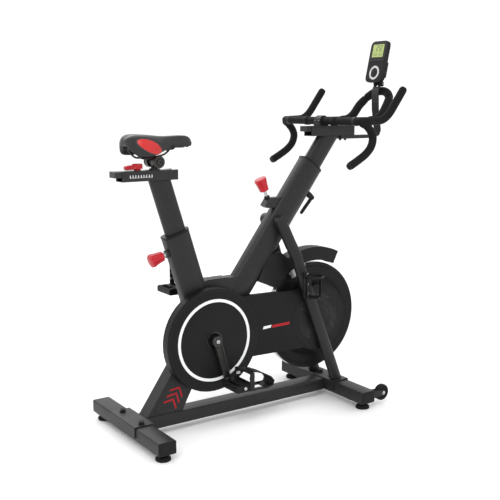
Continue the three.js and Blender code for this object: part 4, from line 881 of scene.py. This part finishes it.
for dx in (-19, 19):
    box(BAR_X + dx - 6, BAR_X + dx + 6, -18, 18, BAR_Z - 6, BAR_Z + 0.6, PAINT, "bar_carriage",
        f"cradle_ear_{dx + 19}", 1.4)

arch = [(x, LOOP_Y, z) for x, z in ((940, BAR_Z), (1000, BAR_Z), (1060, BAR_Z), (1100, BAR_Z + 0.5),
                                    (1140, 1172))]
arch += [(1172, LOOP_Y - 1, 1190), (1205, 85, 1231), (1236, 67, 1266), (1248, 34, 1285), (1251, 0, 1290)]
arch = arch + [(x, -y, z) for x, y, z in reversed(arch[:-1])]
loop = tube(arch, 15, BAR, "bar_carriage", "loop_tube", 180, 24, round_ends=False)
stands_for(loop, "aero_loop")
for side, word in ((-1, "right"), (1, "left")):
    pad = [(x, y * side, z) for x, y, z in ((1108, LOOP_Y, 1169), (1140, LOOP_Y, 1172),
                                            (1172, LOOP_Y - 1, 1190), (1205, 85, 1231), (1228, 74, 1257))]
    tube(pad, 18, FOAM, "bar_carriage", f"loop_pad_{word}", 70, 28, round_ends=False,
         radii=[17.0, 18, 18, 18, 18, 18, 18, 18, 17.2])
tube([(1233, 70, 1263), (1244, 46, 1280), (1250, 20, 1288.5), (1251, 0, 1290), (1250, -20, 1288.5),
      (1244, -46, 1280), (1233, -70, 1263)], 18, FOAM, "bar_carriage", "loop_pad_top", 60, 28,
     round_ends=False, radii=[17.2, 18, 18, 18, 18, 18, 17.2])
for k, x in enumerate((1026, 1053)):
    lathe([(0.01, 0), (7, 0), (7.4, 1.2), (4.8, 1.4), (4.8, 6), (4, 6.8), (0.01, 6.8)], at(x, 0, 1092.6),
          (0, 0, -1), PLASTIC, "bar_column", f"strip_bolt_{k}", 24)

# ---------------------------------------------------------------- console
ct = math.radians(CONSOLE_LEAN)


def onc(depth, y, h):
    """A point on the console, by depth behind its face, across, and height up its face."""
    return at(CONSOLE_X + depth * math.cos(ct) + h * math.sin(ct), y,
              CONSOLE_Z - depth * math.sin(ct) + h * math.cos(ct))


def facing(y0, y1, h0, h1, d0, d1, mat, body, name, radius=4.0, bevel=0.5, lean_by=0.0):
    """Round-cornered panel on the console's face, from depth d0 to d1."""
    pts = []
    for cy, ch, a0 in ((y1 - radius, h0 + radius, -90), (y1 - radius, h1 - radius, 0),
                       (y0 + radius, h1 - radius, 90), (y0 + radius, h0 + radius, 180)):
        for k in range(9):
            a = math.radians(a0 + 90 * k / 8)
            h = ch + radius * math.sin(a)
            pts.append((cy + radius * math.cos(a) + lean_by * (h - h0), h))
    n = len(pts)
    verts = [onc(d0, y, h) for y, h in pts] + [onc(d1, y, h) for y, h in pts]
    faces = [tuple(range(n)), tuple(reversed(range(n, 2 * n)))] + [
        (i, (i + 1) % n, n + (i + 1) % n, n + i) for i in range(n)]
    return build(name, verts, faces, mat, body, smooth=40, bevel=bevel / 1000, segments=3)


refine("console", PLASTIC, 1.6, smooth=35)
facing(-47, 47, 98, 170, -0.8, 1.5, GLOSS, "console_head", "console_window", 9, 0.6)
facing(-33, 33, 106, 160, -1.1, 0.5, LCD, "console_head", "console_lcd", 2.2, 0.2)
facing(-47, 47, 6, 86, -0.5, 1.5, PLASTIC, "console_head", "console_panel", 9, 0.6)
facing(-46, 46, 88, 95, -2.2, 2, GLOSS, "console_head", "console_ridge", 3.2, 1.2)
facing(-43, 43, 22, 90, 19, 33, PLASTIC, "console_head", "console_back", 6, 2.0)
SEGMENTS = {"0": "abcdef", "1": "bc", "2": "abged", "5": "afgcd", "8": "abcdefg"}
STROKES = {"a": (0.16, 0.90, 0.84, 1), "g": (0.16, 0.45, 0.84, 0.55), "d": (0.16, 0, 0.84, 0.10),
           "f": (0, 0.52, 0.22, 0.96), "b": (0.78, 0.52, 1, 0.96), "e": (0, 0.04, 0.22, 0.48),
           "c": (0.78, 0.04, 1, 0.48)}


def digit(char, y, h, wide, high, name):
    """Seven-segment numeral on the display."""
    for s in SEGMENTS[char]:
        u0, v0, u1, v1 = STROKES[s]
        facing(y - wide * u1, y - wide * u0, h + high * v0, h + high * v1, -1.35, -1.0, INK,
               "console_head", f"{name}_{s}", 0.1, 0.02)


for i, (char, y) in enumerate((("2", 13), ("5", 0), ("0", -13))):
    digit(char, y, 134, 10, 22, f"big_{i}")
for i, (char, y) in enumerate((("1", 28), ("2", 22), ("0", 14), ("5", 8))):
    digit(char, y, 112, 4, 9, f"small_{i}")
for i, (char, y) in enumerate((("8", -8), ("5", -14), ("0", -22))):
    digit(char, y, 112, 4, 9, f"tiny_{i}")
facing(-31, 31, 128.5, 129.3, -1.35, -1.0, INK, "console_head", "lcd_rule", 0.1, 0.02)
axis = (-math.cos(ct), 0, math.sin(ct))
lathe([(20.5, -1), (20.5, 1.2), (21.8, 2.2), (27.6, 2.4), (29.4, 1.4), (29.8, -1), (20.5, -1)],
      onc(0, 0, BUTTON_RISE), axis, SILVER, "console_head", "console_ring", 96)
lathe([(15.6, -1), (15.6, 0.9), (20.4, 1.1), (20.4, -1), (15.6, -1)], onc(0, 0, BUTTON_RISE), axis, GLOSS,
      "console_head", "button_surround", 72)
key = lathe([(0.01, -3), (14.6, -3), (14.8, 1.2), (14, 2.3), (9, 2.7), (0.01, 2.9)], onc(0, 0, BUTTON_RISE),
            axis, PLASTIC, "console_key", "console_button_cap", 64)
stands_for(key, "console_button")
for y in (-26, 26):
    for h in (44, 106):
        lathe([(0.01, 0), (3, 0), (3.2, 0.5), (2.4, 1.2), (1.2, 1.2), (1.0, 0.5), (0.01, 0.5)],
              onc(33.4, y * 0.85, h), (math.cos(ct), 0, -math.sin(ct)), STEEL, "console_head",
              f"console_screw_{y + 26}_{h}", 16)
for side in (-1, 1):
    bolt(at(HINGE_X, side * 19.9, HINGE_Z), (0, side, 0), 7.6, PLASTIC, "bar_column",
         f"hinge_knob_{side + 1}", 7.5, False)
    bolt(at(HINGE_X, side * 27.4, HINGE_Z), (0, side, 0), 3.2, STEEL, "bar_column",
         f"hinge_bolt_{side + 1}", 3.4, False)

# ---------------------------------------------------------------- bottle cage
refine("bottle_cage", PLASTIC, 1.0, smooth=35)
for z in (478, 515, 557):
    bolt(at(790, -92.2, z), (0, -1, 0), 3.6, STEEL, "frame", f"cage_bolt_{z}", 3.4, False)

# ---------------------------------------------------------------- camera, lights, floor
CAMERA_X, CAMERA_Y, CAMERA_Z = -1305.4, -2749.1, 1235.6
CAMERA_YAW, CAMERA_PITCH = 34.30, 9.74
CAMERA_LENS, CAMERA_SENSOR = 61.25, 36
FLOOR_HALF, FLOOR_TOP = 40, -0.0004


def studio():
    """White surroundings, three soft lights, a pale floor and the camera."""
    world = bpy.data.worlds.new("studio")
    bpy.context.scene.world = world
    world.use_nodes = True
    world.node_tree.nodes["Background"].inputs["Color"].default_value = (1, 1, 1, 1)
    world.node_tree.nodes["Background"].inputs["Strength"].default_value = 1.12
    bpy.context.scene.view_settings.view_transform = "Standard"

    def area(place, aim, size, power, name, tall=None):
        light = bpy.data.lights.new(name, "AREA")
        light.shape = "RECTANGLE"
        light.size, light.size_y = size, tall or size
        light.energy = power
        obj = bpy.data.objects.new(name, light)
        bpy.context.scene.collection.objects.link(obj)
        obj.location = place
        obj.rotation_mode = "QUATERNION"
        obj.rotation_quaternion = (Vector(aim) - Vector(place)).to_track_quat("-Z", "Y")
    area((-2.4, -2.2, 3.0), (0, 0, 0.7), 1.5, 62, "key", 2.2)
    area((2.2, -2.6, 2.2), (0.1, 0, 0.6), 1.6, 12, "fill", 2.2)
    area((0.2, 2.6, 2.8), (0, 0, 0.8), 2.4, 32, "rim")
    floor_mat = bpy.data.materials.new("floor")
    floor_mat.use_nodes = True
    floor_mat.node_tree.nodes["Principled BSDF"].inputs["Base Color"].default_value = (0.95, 0.95, 0.95, 1)
    floor_mat.node_tree.nodes["Principled BSDF"].inputs["Roughness"].default_value = 0.7
    mesh = bpy.data.meshes.new("floor")
    corners = [(x * FLOOR_HALF, y * FLOOR_HALF, FLOOR_TOP) for x, y in ((-1, -1), (1, -1), (1, 1), (-1, 1))]
    mesh.from_pydata(corners, [], [(0, 1, 2, 3)])
    ground = bpy.data.objects.new("floor", mesh)
    mesh.materials.append(floor_mat)
    bpy.context.scene.collection.objects.link(ground)

    cam = bpy.data.cameras.new("camera")
    cam.sensor_width = CAMERA_SENSOR
    cam.lens = CAMERA_LENS
    holder = bpy.data.objects.new("camera", cam)
    bpy.context.scene.collection.objects.link(holder)
    holder.location = at(CAMERA_X, CAMERA_Y, CAMERA_Z)
    yaw, pitch = math.radians(CAMERA_YAW), math.radians(CAMERA_PITCH)
    look = Vector((math.sin(yaw) * math.cos(pitch), math.cos(yaw) * math.cos(pitch), -math.sin(pitch)))
    holder.rotation_mode = "QUATERNION"
    holder.rotation_quaternion = look.to_track_quat("-Z", "Y")
    bpy.context.scene.camera = holder


studio()
